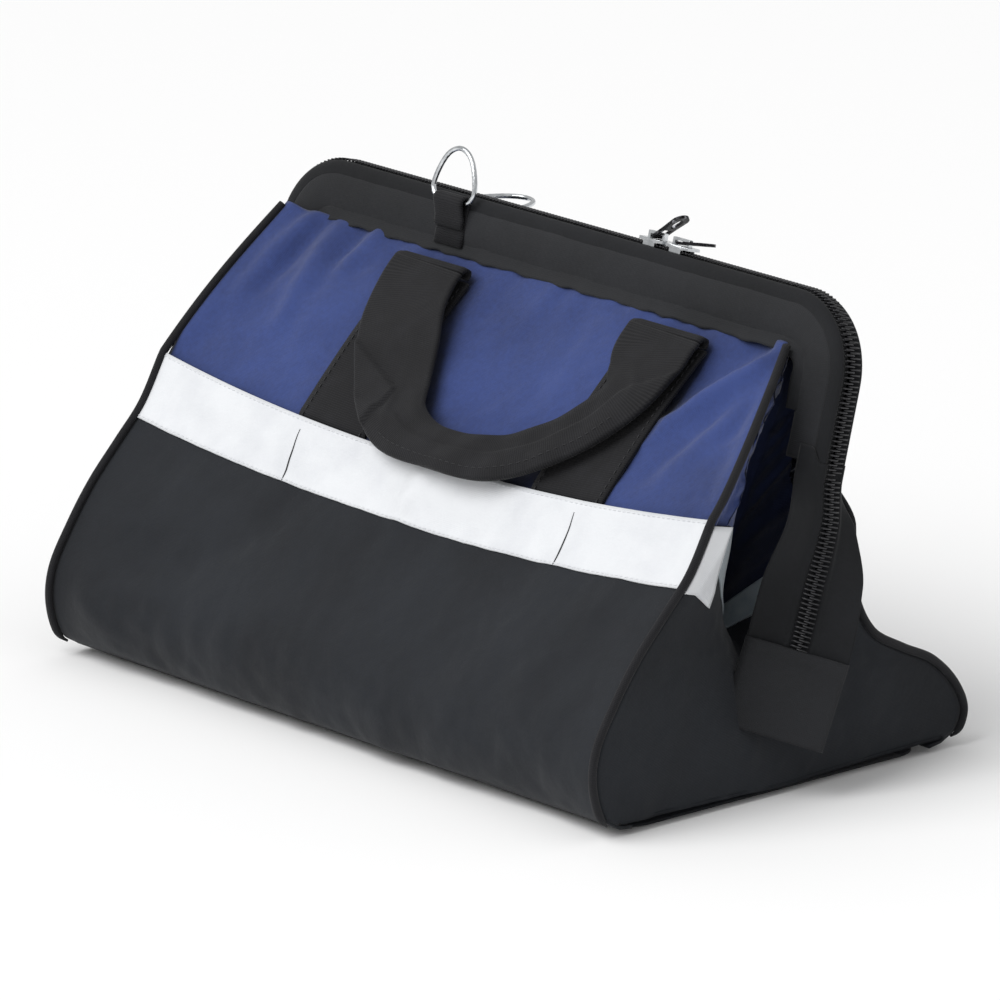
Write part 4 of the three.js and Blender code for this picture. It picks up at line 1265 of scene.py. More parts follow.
class Wall:
    """A long wall: body panel, pocket panel, ribbon with its pocket slits, and their sewing."""

    def __init__(self, shape: WallShape, finishes: Finishes) -> None:
        """Keeps the wall's shape and the materials."""
        self.shape = shape
        self.finishes = finishes
        self.name = shape.side.word
        self.outward = Vector((0, shape.side.value, 0.45))
        self.pocket_top = shape.pocket_share
        self.us = evenly(-PIPING_REACH, 1 + PIPING_REACH, 150)
        self.vs = [-0.02, -0.01] + evenly(0, self.pocket_top, 72)
        self.pocket_points = shape.grid(self.us, self.vs)
        self.pocket_lift = self.dents(self.pocket_points, self.vs)

    def build(self) -> None:
        """Builds every layer of the wall."""
        self._body()
        self._pocket()
        self._ribbon()
        LOG.info("%s wall", self.name)

    def dents(self, points: Array, vs: Sequence[float]) -> Array:
        """Gives the soft dents of the pocket cloth, which the ribbon and the body cloth share.

        Args:
            points: A grid as wide as the wall.
            vs: Its rows' height shares.

        Returns:
            The heights.
        """
        across = by_column(smooth(0, 0.07, min(u, 1 - u)) for u in self.us)
        along = by_row(smooth(0, 0.09, min(v, 1.06 * self.pocket_top - v)) for v in vs)
        hollows = sum(dent.lift(points[..., 0], points[..., 2]) for dent in self.shape.dents)
        uneven = crumple(points, 95, 2.2, seed=3.0) + crumple(points, 30, 0.7, seed=7.0)
        return (uneven + hollows) * across * along

    def _body(self) -> None:
        """Builds the blue body panel, with its folds, its gathers and the swell beside its end seams."""
        vs = evenly(0.02, self.pocket_top, 24)[:-1] + evenly(self.pocket_top, 1, 56)
        points = self.shape.grid(self.us, vs)
        down = np.linalg.norm(points - points[-1][None, :, :], axis=2)
        folds = sum(fold.lift(points[..., 0], down) for fold in self.shape.folds) + crumple(points, 46, 1.2)
        shown = by_row(smooth(self.pocket_top - 0.01, self.pocket_top + 0.07, v) for v in vs)
        across = by_column(smooth(0, 0.03, min(u, 1 - u)) for u in self.us)
        calm_top = 0.35 + 0.65 * by_row(smooth(0, 0.02, 1 - v) for v in vs)
        relief = folds * shown * across * calm_top + self.gathers(points[..., 0], down) * shown
        seam = by_column(1 - smooth(0, 0.035, min(u, 1 - u)) for u in self.us)
        relief = relief + self.dents(points, vs) * (1 - shown) + SEAM_SWELL * seam * shown
        for middle in self.shape.strap_middles:
            beside = soft_step((np.abs(points[..., 0] - middle) - self.shape.strap_room) / 9)
            relief = np.minimum(relief, 0.4 + 6 * beside)
        panel = sheet(f"{self.name}_panel_cloth", points, LAYERS.body, self.outward, LAYERS.body_depth,
                      relief)
        fit(panel, self.finishes.blue, f"{self.name}_body_panel")
        self.shape.follow_mouth(panel)

    @staticmethod
    def gathers(x: Array, down: Array) -> Array:
        """Gives the small puckers where the cloth is gathered into the sleeve."""
        pucker = np.sin(x / 3.1 + 0.8 * np.sin(x / 17)) + 0.6 * np.sin(x / 5.3 + 2.0)
        return 0.6 * pucker * np.exp(-down / 9)

    def _pocket(self) -> None:
        """Builds the black pocket panel."""
        panel = sheet(f"{self.name}_pocket_cloth", self.pocket_points, LAYERS.pocket, self.outward,
                      LAYERS.pocket_depth, self.pocket_lift)
        fit(panel, self.finishes.black, f"{self.name}_pocket_panel", "bag")

    def _ribbon(self) -> None:
        """Builds the ribbon along the pocket's top, its pocket slits and the stitches of its edges."""
        low_row = next(k for k, v in enumerate(self.vs) if v >= self.pocket_top * BELOW_RIBBON - 1e-6)
        points = self.pocket_points[low_row:]
        relief = self.pocket_lift[low_row:]
        ribbon = sheet(f"{self.name}_ribbon", points, LAYERS.tape, self.outward, LAYERS.tape_depth, relief)
        fit(ribbon, self.finishes.ribbon, f"{self.name}_reflective_tape", "bag")
        normals = grid_normals(points, self.outward)
        face = points + normals * (relief - LAYERS.tape_depth + 0.05)[..., None]
        inset = 0.55  # How far each row of stitches lies in from the edge, in rows of the grid
        lines = [(face[row] * (1 - inset) + face[other] * inset, normals[row])
                 for row, other in ((0, 1), (-1, -2))]
        thread = Thread(stitch=2.4, gap=1.0, radius=0.2).build(f"{self.name}_ribbon_stitches", lines)
        fit(thread, self.finishes.ribbon, body="bag")
        for number, (x_top, x_low) in enumerate(self.shape.slits):
            self._slit(number, x_top, x_low, face, normals)

    def _slit(self, number: int, x_top: float, x_low: float, face: Array, normals: Array) -> None:
        """Builds the dark seam between two pockets, from the ribbon's foot nearly to its top.

        Args:
            number: The seam's number.
            x_top: Its x at the top.
            x_low: Its x at the foot.
            face: The ribbon's outer face.
            normals: The ribbon's normals.
        """
        path, ups = [], []
        rows = len(face) - 2
        for r in range(rows):
            x = x_low + (x_top - x_low) * r / (rows - 1)
            column = float(np.interp(x, face[r, :, 0], np.arange(face.shape[1])))
            k = min(int(column), face.shape[1] - 2)
            share = column - k
            path.append(face[r, k] * (1 - share) + face[r, k + 1] * share)
            ups.append(normals[r, k])
        path, ups = np.array(path), np.array(ups)
        across = unit_rows(np.cross(np.gradient(path, axis=0), ups))
        taper = 0.15 + 0.55 * np.sin(math.pi * np.linspace(0, 1, rows) ** 0.7)
        seam = swept(f"{self.name}_slit_{number}", path, across, ups, rounded_section(1.3, 0.5, 0.2, 2),
                     np.stack([taper, np.ones(rows)], axis=1))
        fit(seam, self.finishes.thread, body="bag")


@dataclass(frozen=True)
class GussetShape:
    """An end of the bag, folded inward; its middle line is given as inset from the end and height.

    The seam runs from foot to foot + seam_share of the wall's height, and lies past_seam outside the wall's.
    The fold's deepest line lies at half_way of the chord, skewed to one side and then narrowed.
    """

    end: End
    middle: tuple[Point, ...] = ((0, GROUND), (1, 14), (3, 28), (8, 42), (15, 55), (28, 68), (50, 80),
                                 (58, 100), (56, 124), (49, 160), (40, 200))
    half_length: float = 203
    inset_low: float = 2.4
    inset_high: float = 2.8
    past_seam: float = 4
    foot: float = 0.005
    seam_share: float = 0.985
    lip: float = 12.0
    half_way: float = 0.48
    skew: float = 0.13
    narrowing: float = 0.12

    def seam_point(self, wall: WallShape, v: float, step: int) -> Array:
        """Gives the gusset's edge beside a wall's end seam.

        Args:
            wall: The wall.
            v: The height share.
            step: The sign of the wall's y.

        Returns:
            The point at the right end.
        """
        point = wall.point(1, v)
        along = wall.point(1, min(v + 0.01, 1)) - wall.point(1, max(v - 0.01, 0))
        along /= np.linalg.norm(along)
        inset = step * (self.inset_low + (self.inset_high - self.inset_low) * smooth(0.1, 0.45, v))
        return point + np.array([self.past_seam, -inset * along[2], inset * along[1]])

    @staticmethod
    def _depth(lip: float, reach: float, from_seam: float, v: float) -> float:
        """Gives how far in the cloth lies, 0 to 1: softly rounded low down, turned in sharply higher up.

        Args:
            lip: The unfolded strip beside the seam.
            reach: Where the fold is deepest.
            from_seam: The place's distance from the seam.
            v: The height share.

        Returns:
            The share of the full depth.
        """
        lip = min(lip, 0.45 * reach)
        soft = smooth(lip, reach, from_seam)
        sharp = 1 - (1 - clamp01((from_seam - lip) / (reach - lip))) ** 2.3
        return soft + (sharp - soft) * smooth(0.35, 0.58, v)

    def point(self, u: float, v: float) -> Array:
        """Gives the gusset's point, u from 0 at the front seam to 1 at the back one.

        Args:
            u: The place across.
            v: The height share, below 0 under the base.

        Returns:
            The point (x, y, z).
        """
        share = self.seam_share * max(v, 0) + self.foot
        front = self.seam_point(FRONT_WALL, share, -1)
        back = self.seam_point(BACK_WALL, share, 1)
        chord = float(np.linalg.norm(back - front))
        lip = self.lip * smooth(0.35, 0.62, v)
        skew = self.skew * smooth(0.3, 0.5, v)
        half = self.half_way - self.narrowing * smooth(0.6, 0.72, v)
        fold = min(self._depth(lip, (half + skew) * chord, u * chord, v),
                   self._depth(lip, (half - skew) * chord, (1 - u) * chord, v))
        inset, z = catmull_rom(self.middle, max(v, 0))
        deep_y = (front[1] + back[1]) / 2 + (back[1] - front[1]) * (u - 0.5) * 0.25
        deep = np.array([self.half_length - inset, deep_y, z])
        edge = front + (back - front) * u
        place = edge + (deep - edge) * fold
        under = max(0.0, -v)
        height = max(place[2], GROUND) - RUN_DOWN * under
        return np.array([(place[0] - RUN_UNDER * under) * self.end.value, place[1], height])

    def grid(self, us: Sequence[float], vs: Sequence[float]) -> Array:
        """Gives rows of points over the gusset."""
        return np.array([[self.point(u, v) for u in us] for v in vs])


class Gusset:
    """An end gusset: front and back blue halves, black pocket and ribbon."""

    def __init__(self, end: End, finishes: Finishes) -> None:
        """Keeps the end and the materials."""
        self.end = end
        self.shape = GussetShape(end)
        self.finishes = finishes
        self.outward = Vector((end.value, 0, 0.2))

    def build(self) -> None:
        """Builds the gusset's layers."""
        self._upper()
        self._lower()
        LOG.info("%s gusset", self.end.word)

    def _upper(self) -> None:
        """Builds the blue cloth, split at its middle into a front and a back half."""
        vs = evenly(0.03, 0.55, 20)[:-1] + evenly(0.55, 0.99, 60)
        for side, us in ((Side.FRONT, evenly(0, 0.5, 44)), (Side.BACK, evenly(0.5, 1, 44))):
            points = self.shape.grid(us, vs)
            shown = by_row(smooth(POCKET_SHARE, POCKET_SHARE + 0.06, v) for v in vs)
            relief = crumple(points, 34, 2.2, seed=5.0 + self.end.value) * calm_edges(*points.shape[:2])
            seam = by_column(1 - smooth(0, 0.06, min(u, 1 - u)) for u in us)
            relief = relief * shown + self._puckers(points, us) * shown + SEAM_SWELL * seam * shown
            name = f"{self.end.word}_gusset_{side.word}_half"
            cloth = sheet(name, points, LAYERS.body, self.outward, LAYERS.body_depth, relief)
            node = f"{self.end.word}_gusset_panel" if side is Side.FRONT else ""
            fit(cloth, self.finishes.blue, node)
            start = self.shape.point(0.5, POCKET_SHARE + 0.02) * MM
            finish = FRAME.world(0, side.value * 20, FRAME.blend_height)
            finish[0] = start[0] / MM
            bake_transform(cloth)

    @staticmethod
    def _puckers(points: Array, us: Sequence[float]) -> Array:
        """Gives the ruffled edge where the cloth turns inward behind the lip.

        Args:
            points: The half's grid.
            us: Its columns' places.

        Returns:
            The heights.
        """
        chord = np.linalg.norm(points[:, -1] - points[:, 0], axis=1)[:, None] * 2
        from_seam = by_column(min(u, 1 - u) for u in us) * chord
        climb = by_row(running_length(points[:, 0]))
        wave = np.sin(climb / 2.6 + 1.4 * np.sin(climb / 9)) + 0.5 * np.sin(climb / 1.7 + 1)
        room = np.clip((chord - 34) / 30, 0, 1)
        return 0.7 * wave * np.exp(-(((from_seam - 15) / 7) ** 2)) * room

    def _lower(self) -> None:
        """Builds the black pocket cloth and the ribbon along its top, with painted shade on the ribbon in the
        fold: a darker copy of the ribbon there and the pale one beside it.
        """
        vs = [-0.02, -0.01] + evenly(0, POCKET_SHARE, 48)
        us = evenly(0, 1, 90)
        points = self.shape.grid(us, vs)
        relief = np.clip(crumple(points, 60, 2.0, seed=11.0 + self.end.value), -0.3, 1.6)
        relief = relief * calm_edges(*points.shape[:2])
        pocket = sheet(f"{self.end.word}_gusset_pocket_cloth", points, LAYERS.pocket, self.outward,
                       LAYERS.pocket_depth, relief)
        fit(pocket, self.finishes.black, f"{self.end.word}_gusset_pocket", "bag")
        low_row = next(k for k, v in enumerate(vs) if v >= POCKET_SHARE * BELOW_RIBBON - 1e-6)
        chord = float(np.linalg.norm(points[-1, -1] - points[-1, 0]))
        lip = sum(1 for u in us if u * chord <= self.shape.lip + 0.5)
        last = len(us)
        # The stretch in the fold gets the darker ribbon, as painted shade
        self._ribbon("middle", points[:, lip - 1:last - lip + 1], relief[:, lip - 1:last - lip + 1],
                     low_row + 0.5 * (len(vs) - 1 - low_row), self.finishes.shaded_ribbon)
        for side, columns in ((Side.FRONT, slice(0, lip)), (Side.BACK, slice(last - lip, last))):
            self._ribbon(side.word, points[:, columns], relief[:, columns], low_row, self.finishes.ribbon)

    def _ribbon(self, part: str, points: Array, relief: Array, low_row: float,
                finish: Material) -> None:
        """Builds a stretch of the ribbon along the pocket's top, from a row of its grid up to the last.

        Args:
            part: The stretch's name.
            points: The pocket's grid there.
            relief: The pocket's heights there.
            low_row: The row where the ribbon starts.
            finish: Its material.
        """
        rows = np.linspace(low_row, len(points) - 1, 12)
        below = np.minimum(rows.astype(int), len(points) - 2)
        share = rows - below
        cut = points[below] * (1 - share)[:, None, None] + points[below + 1] * share[:, None, None]
        lift = relief[below] * (1 - share)[:, None] + relief[below + 1] * share[:, None]
        ribbon = sheet(f"{self.end.word}_gusset_ribbon_{part}", cut, LAYERS.tape, self.outward,
                       LAYERS.tape_depth, lift)
        if part == "middle":
            fit(ribbon, finish, f"{self.end.word}_gusset_tape", "bag")
        else:
            fit(ribbon, finish, "", "bag")


@dataclass(frozen=True)
class CornerBinding:
    """Dark piping along an end seam, from near the base to the sleeve, tapered at its foot."""

    wall: WallShape
    end: End
    finishes: Finishes
    radius: float = 2.1
    past_seam: float = 2.9
    foot: float = 0.045
    top: float = 0.99

    def build(self) -> None:
        """Builds the piping."""
        path = []
        for v in evenly(self.foot, self.top, 100):
            offset = self.end.value * self.past_seam * smooth(0.02, 0.07, v)
            path.append(self.wall.point((1 + self.end.value) / 2, v) + np.array([offset, 0, 0]))
        path = np.array(path)
        tangents = unit_rows(np.gradient(path, axis=0))
        across = unit_rows(np.cross(tangents, np.array([self.end.value, 0, 0])))
        turns = np.linspace(0, 2 * math.pi, 12, endpoint=False)
        section = [(self.radius * math.cos(a), self.radius * math.sin(a)) for a in turns]
        name = f"{self.wall.side.word}_{self.end.word}"
        taper = [0.3 + 0.7 * smooth(0, 5, k) for k in range(len(path))]
        piping = swept(f"{name}_piping", path, across, np.cross(across, tangents), section,
                       np.stack([taper, taper], axis=1))
        fit(piping, self.finishes.binding, f"{name}_binding")
        self.wall.follow_mouth(piping)


# The thickness of the hem's and the zip tape's cloth, and the distance from one zip loop to the next
THIN_CLOTH = 0.7
COIL_PITCH = 2.3
# The hem's rows: how far each lies below the sleeve's outline, and how far it stands off the sleeve
HEM_PROFILE = ((17.5, 0.15), (19.0, 0.5), (20.6, 0.75), (22.2, 1.2), (23.8, 1.9), (25.0, 2.5))
# The zip tape's rows: how far each lies from the mouth's middle, and how high above the sleeve's outline
ZIP_TAPE_PROFILE = ((0.95, 3.6), (4.2, 3.7), (5.0, 4.6), (5.9, 5.1), (7.1, 4.6), (8.3, 3.0), (8.75, 0.6),
                    (8.6, -3.2))


@dataclass(frozen=True)
class FrameHalf:
    """One half of the mouth frame: its cloth sleeve, zip tape and coil on the steel bar."""

    side: Side
    finishes: Finishes
    frame: dict

    @property
    def body(self) -> str:
        """The body that the half's pieces ride on."""
        return f"{self.side.word}_frame"

    def build(self) -> None:
        """Builds the half's pieces."""
        dress(self.frame["nodes"][f"{self.side.word}_frame_bar"], self.finishes.lacquer)
        self._sleeve()
        self._tape()
        self._coil()
        LOG.info("%s half of the mouth frame", self.side.word)

    @staticmethod
    def _frame_path(rise: float, bottom: float, y: float, step: float) -> tuple[Array, ...]:
        """Gives a path round the arch with its across and outward directions, in the bag's millimetres.

        Args:
            rise: How far outside the outline.
            bottom: The legs' lowest height.
            y: The distance from the mouth's middle.
            step: About how far apart.

        Returns:
            The path and both directions at each point.
        """
        flat, outward = FRAME.arch(rise, bottom, step)
        path = np.array([FRAME.world(x, y, z) for x, z in flat])
        across = np.array([FRAME.direction(0, 1, 0)] * len(path))
        up = np.array([FRAME.direction(x, 0, z) for x, z in outward])
        return path, across, up

    def _sleeve(self) -> None:
        """Builds the sleeve: cloth drawn round the bar, a little loose, with a sewn lower edge."""
        middle = self.side.value * (FRAME.sleeve_half_gap + FRAME.sleeve_thickness / 2)
        path, across, up = self._frame_path(-FRAME.sleeve_width / 2, FRAME.leg_bottom, middle, 2.5)
        section = self._puffed(rounded_section(FRAME.sleeve_thickness, FRAME.sleeve_width, 3.2, 6))
        wobble = np.array([noise.fractal(Vector(p / 26), 0.6, 2.0, 3) for p in path])
        sizes = np.stack([1 + 0.06 * wobble, 1 + 0.02 * wobble], axis=1)
        sleeve = swept(f"{self.side.word}_sleeve", path, across, up, section, sizes)
        fit(sleeve, self.finishes.sleeve, f"{self.side.word}_frame_sleeve", self.body)
        self._hem()
        face = self.side.value * (FRAME.sleeve_half_gap + FRAME.sleeve_thickness + 0.1)
        points, normals, _ = self._frame_path(3.2 - FRAME.sleeve_width, FRAME.leg_bottom + 1, face, 3.0)
        lines = [(points, normals * self.side.value)]
        stitches = Thread(stitch=2.2, gap=1.1, radius=0.2).build(f"{self.side.word}_sleeve_stitches", lines)
        fit(stitches, self.finishes.thread, body=self.body)

    def _puffed(self, section: Sequence[Point]) -> list[Point]:
        """Swells the outer face of the sleeve's section, which gets more points for it.

        Args:
            section: The section's outline.

        Returns:
            The swollen outline.
        """
        puffed = []
        for (a, b), (c, d) in zip(section, list(section[1:]) + [section[0]]):
            steps = max(1, round(math.hypot(c - a, d - b) / 2))
            for k in range(steps):
                across = a + (c - a) * k / steps
                up = b + (d - b) * k / steps
                outer = smooth(0, FRAME.sleeve_thickness / 2, across * self.side.value)
                swell = 1.5 * max(0.0, math.cos(math.pi * (up - 1.5) / FRAME.sleeve_width))
                puffed.append((across + self.side.value * swell * outer, up))
        return puffed

    def _hem(self) -> None:
        """Builds the sleeve's sewn hem, which laps over the gathered body cloth in small waves."""
        flat, outward = FRAME.arch(0, FRAME.leg_bottom + FRAME.sleeve_width, 1.6)
        rows = []
        for drop, lift in HEM_PROFILE:
            row = []
            for (x, z), n in zip(flat, outward):
                free = smooth(19, 25, drop)
                wave = math.sin(x / 4.1 + 1.3 * math.sin(x / 13)) + 0.6 * math.sin(x / 2.3 + z / 5)
                reach = drop + 0.35 * free * wave
                y = FRAME.sleeve_half_gap + FRAME.sleeve_thickness + lift + 0.3 * free * wave
                row.append(FRAME.world(x - n[0] * reach, self.side.value * y, z - n[1] * reach))
            rows.append(row)
        hem = sheet(f"{self.side.word}_sleeve_hem", np.array(rows), THIN_CLOTH,
                    Vector(FRAME.direction(0, self.side.value, 0.1)))
        fit(hem, self.finishes.sleeve, "", self.body)

    def _tape(self) -> None:
        """Builds the zip's tape: raised beside the coil, turned down over the sleeve's edge."""
        flat, outward = FRAME.arch(0, FRAME.zip_leg_bottom, 3.0)
        rows = [[FRAME.world(x + n[0] * rise, self.side.value * y, z + n[1] * rise)
                 for (x, z), n in zip(flat, outward)] for y, rise in ZIP_TAPE_PROFILE]
        tape = sheet(f"{self.side.word}_zip_cloth", np.array(rows), THIN_CLOTH,
                     Vector(FRAME.direction(0, self.side.value * 0.3, 1)))
        soften(tape, 1)
        fit(tape, self.finishes.zip_tape, f"{self.side.word}_zip_tape", self.body)

    def _coil(self) -> None:
        """Builds the zip's coil as one moulded loop after another, set between the other side's loops."""
        flat, outward = FRAME.arch(0, FRAME.zip_leg_bottom + 1, 0.5)
        lengths = running_length(flat)
        loops = CoilLoops(self.side)
        place = 1.0 + (COIL_PITCH / 2 if self.side is Side.BACK else 0.0)
        while place < lengths[-1] - 1:
            x, z = (np.interp(place, lengths, flat[:, k]) for k in range(2))
            nx, nz = (np.interp(place, lengths, outward[:, k]) for k in range(2))
            loops.add(FRAME.world(x, 0, z), FRAME.direction(nz, 0, -nx), FRAME.direction(0, 1, 0),
                      FRAME.direction(nx, 0, nz), 4.1)
            place += COIL_PITCH
        coil = loops.build(f"{self.side.word}_coil_loops")
        fit(coil, self.finishes.coil, f"{self.side.word}_zip_coil", self.body)


@dataclass
class CoilLoops:
    """Moulded zip loops, each a bent rod whose head reaches just over the middle.

    The rod's route is given as distances from the zip's middle and heights, with its radius at each.
    """

    side: Side
    route: tuple[Point, ...] = ((4.3, 0.15), (1.2, 0.15), (-0.5, 0.4), (-0.85, 0.9), (-0.5, 1.4), (1.2, 1.65),
                                (4.3, 1.65))
    radii: tuple[float, ...] = (0.45, 0.47, 0.5, 0.55, 0.5, 0.47, 0.45)
    head_height: float = 0.9
    vertices: list[Array] = field(default_factory=list)
    faces: list[list[int]] = field(default_factory=list)

    def add(self, centre: Array, along: Array, across: Array, up: Array,
            rise: float) -> None:
        """Adds a loop at a place of the zip's middle line, in that place's directions.

        Args:
            centre: The place.
            along: The zip's direction.
            across: From front to back.
            up: Away from the bag.
            rise: The loop's height above the place.
        """
        rings = []
        for (y, z), radius in zip(self.route, self.radii):
            spot = centre + across * (self.side.value * y) + up * (rise + z)
            lift = self._lift(across, up, y, z)
            turns = (math.pi * k / 3 for k in range(6))
            rings.append([spot + along * radius * math.cos(a) + lift * radius * math.sin(a) for a in turns])
        add_rod(rings, self.vertices, self.faces)

    def _lift(self, across: Array, up: Array, y: float, z: float) -> Array:
        """Gives the rod's own up direction, which turns round the loop's head.

        Args:
            across: The place's across direction.
            up: Its up direction.
            y: The distance from the zip's middle.
            z: The height on the loop.

        Returns:
            The direction.
        """
        if y < 0.5:
            way = np.array([-1.0, (z - self.head_height) * 2.2])
            way /= np.linalg.norm(way)
            return across * (self.side.value * way[0]) + up * way[1]
        return up if z > self.head_height else -up

    def build(self, name: str) -> Piece:
        """Makes one mesh of all the loops."""
        return new_mesh(name, np.concatenate(self.vertices), self.faces)


@dataclass(frozen=True)
class Hardware:
    """The steel and lacquered pieces that keep their CAD shape, and the floor panel."""

    finishes: Finishes
    frame: dict
    floor_inset: float = 6.0
    floor_corner: float = 16
    floor_height: float = 1.5
    floor_thickness: float = 1.3

    def build(self) -> None:
        """Rounds the edges of rings, sliders, pulls and pins, and gives them their metal."""
        nodes = self.frame["nodes"]
        for side in Side:
            ring = nodes[f"{side.word}_d_ring"]
            dress(ring, self.finishes.steel)
            self._rounded(ring)
            soften(ring, 2)
        for end in End:
            self._cast(nodes[f"{end.word}_slider"], self.finishes.steel, 0.35)
            self._cast(nodes[f"{end.word}_pull"], self.finishes.lacquer, 0.25)
            self._cast(nodes[f"{end.word}_hinge_pin"], self.finishes.lacquer, 0.3)
        self._floor_cloth()
        dress(nodes["base_board"], self.finishes.board)
        LOG.info("rings, sliders, pulls and pins")

    def _floor_cloth(self) -> None:
        """Builds the floor panel: cloth with rounded corners that the walls' lower edges run down to."""
        low, high = (Vector(p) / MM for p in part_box("base_panel"))
        middle = (low + high) / 2
        size = high - low - Vector((2, 2, 0)) * self.floor_inset
        outline = rounded_section(size.x, size.y, self.floor_corner, 8)
        outline.append(outline[0])
        rows = []
        for share in evenly(0.02, 1, 14):
            rows.append([(middle.x + x * share, middle.y + y * share,
                          self.floor_height + 0.12 * math.sin(x / 9) * share) for x, y in outline])
        cloth = sheet("floor_cloth", np.array(rows), self.floor_thickness, Vector((0, 0, 1)))
        fit(cloth, self.finishes.black, "base_panel", "bag")

    @staticmethod
    def _rounded(piece: Piece) -> None:
        """Joins a node's split corners so that it shades as one surface."""
        weld = piece.modifiers.new("Join", "WELD")
        weld.merge_threshold = 1e-6

    def _cast(self, piece: Piece, material: Material, radius: float) -> None:
        """Rounds a cast piece's edges.

        Args:
            piece: The node's object.
            material: Its metal.
            radius: Its edges' radius.
        """
        dress(piece, material)
        self._rounded(piece)
        bevel = piece.modifiers.new("Edges", "BEVEL")
        bevel.width = radius * MM
        bevel.segments = 2
        bevel.limit_method = "ANGLE"
        bevel.angle_limit = math.radians(35)


@dataclass(frozen=True)
class HandlePlane:
    """The plane a handle hangs in: the point of its folds, its downward and its outward directions.

    The folds lie at fold_share of the wall's height.
    """

    fold: Array
    down: Array
    out: Array
    fold_share: float


@dataclass(frozen=True)
class HandleSizes:
    """A carrying handle of folded webbing.

    The hanging loop runs through knots of x, distance below its folds and half-width. The turned corner is a
    three-cornered flap, given the same way.
    """

    webbing: float = 50
    thickness: float = 2.8
    centre_x: float = 86
    grip: float = 27
    fold_radius: float = 2.2
    fold_clearance: float = 0.3
    fold_seat: float = 0.5
    front_fold_down: float = 16
    front_shift: float = 14
    back_fold_down: float = 14
    back_lean: float = math.radians(11)
    hang: tuple[tuple[float, float, float], ...] = (
        (-86, 0, 25), (-86, 8, 25), (-81, 26, 25), (-68, 48, 24), (-54, 69, 21), (-36, 86, 16),
        (-2, 92.5, 11.5), (38, 88, 13.5), (73, 64, 14.5), (90, 38, 17), (89, 20, 22.5), (86, 7, 25),
        (86, 0, 25))
    turned_corner: tuple[Point, ...] = ((-95, 50), (-50, 69), (-56, 95))
    stitch_line: float = 0.62
    strap_columns: int = 17
    strap_rows: int = 40


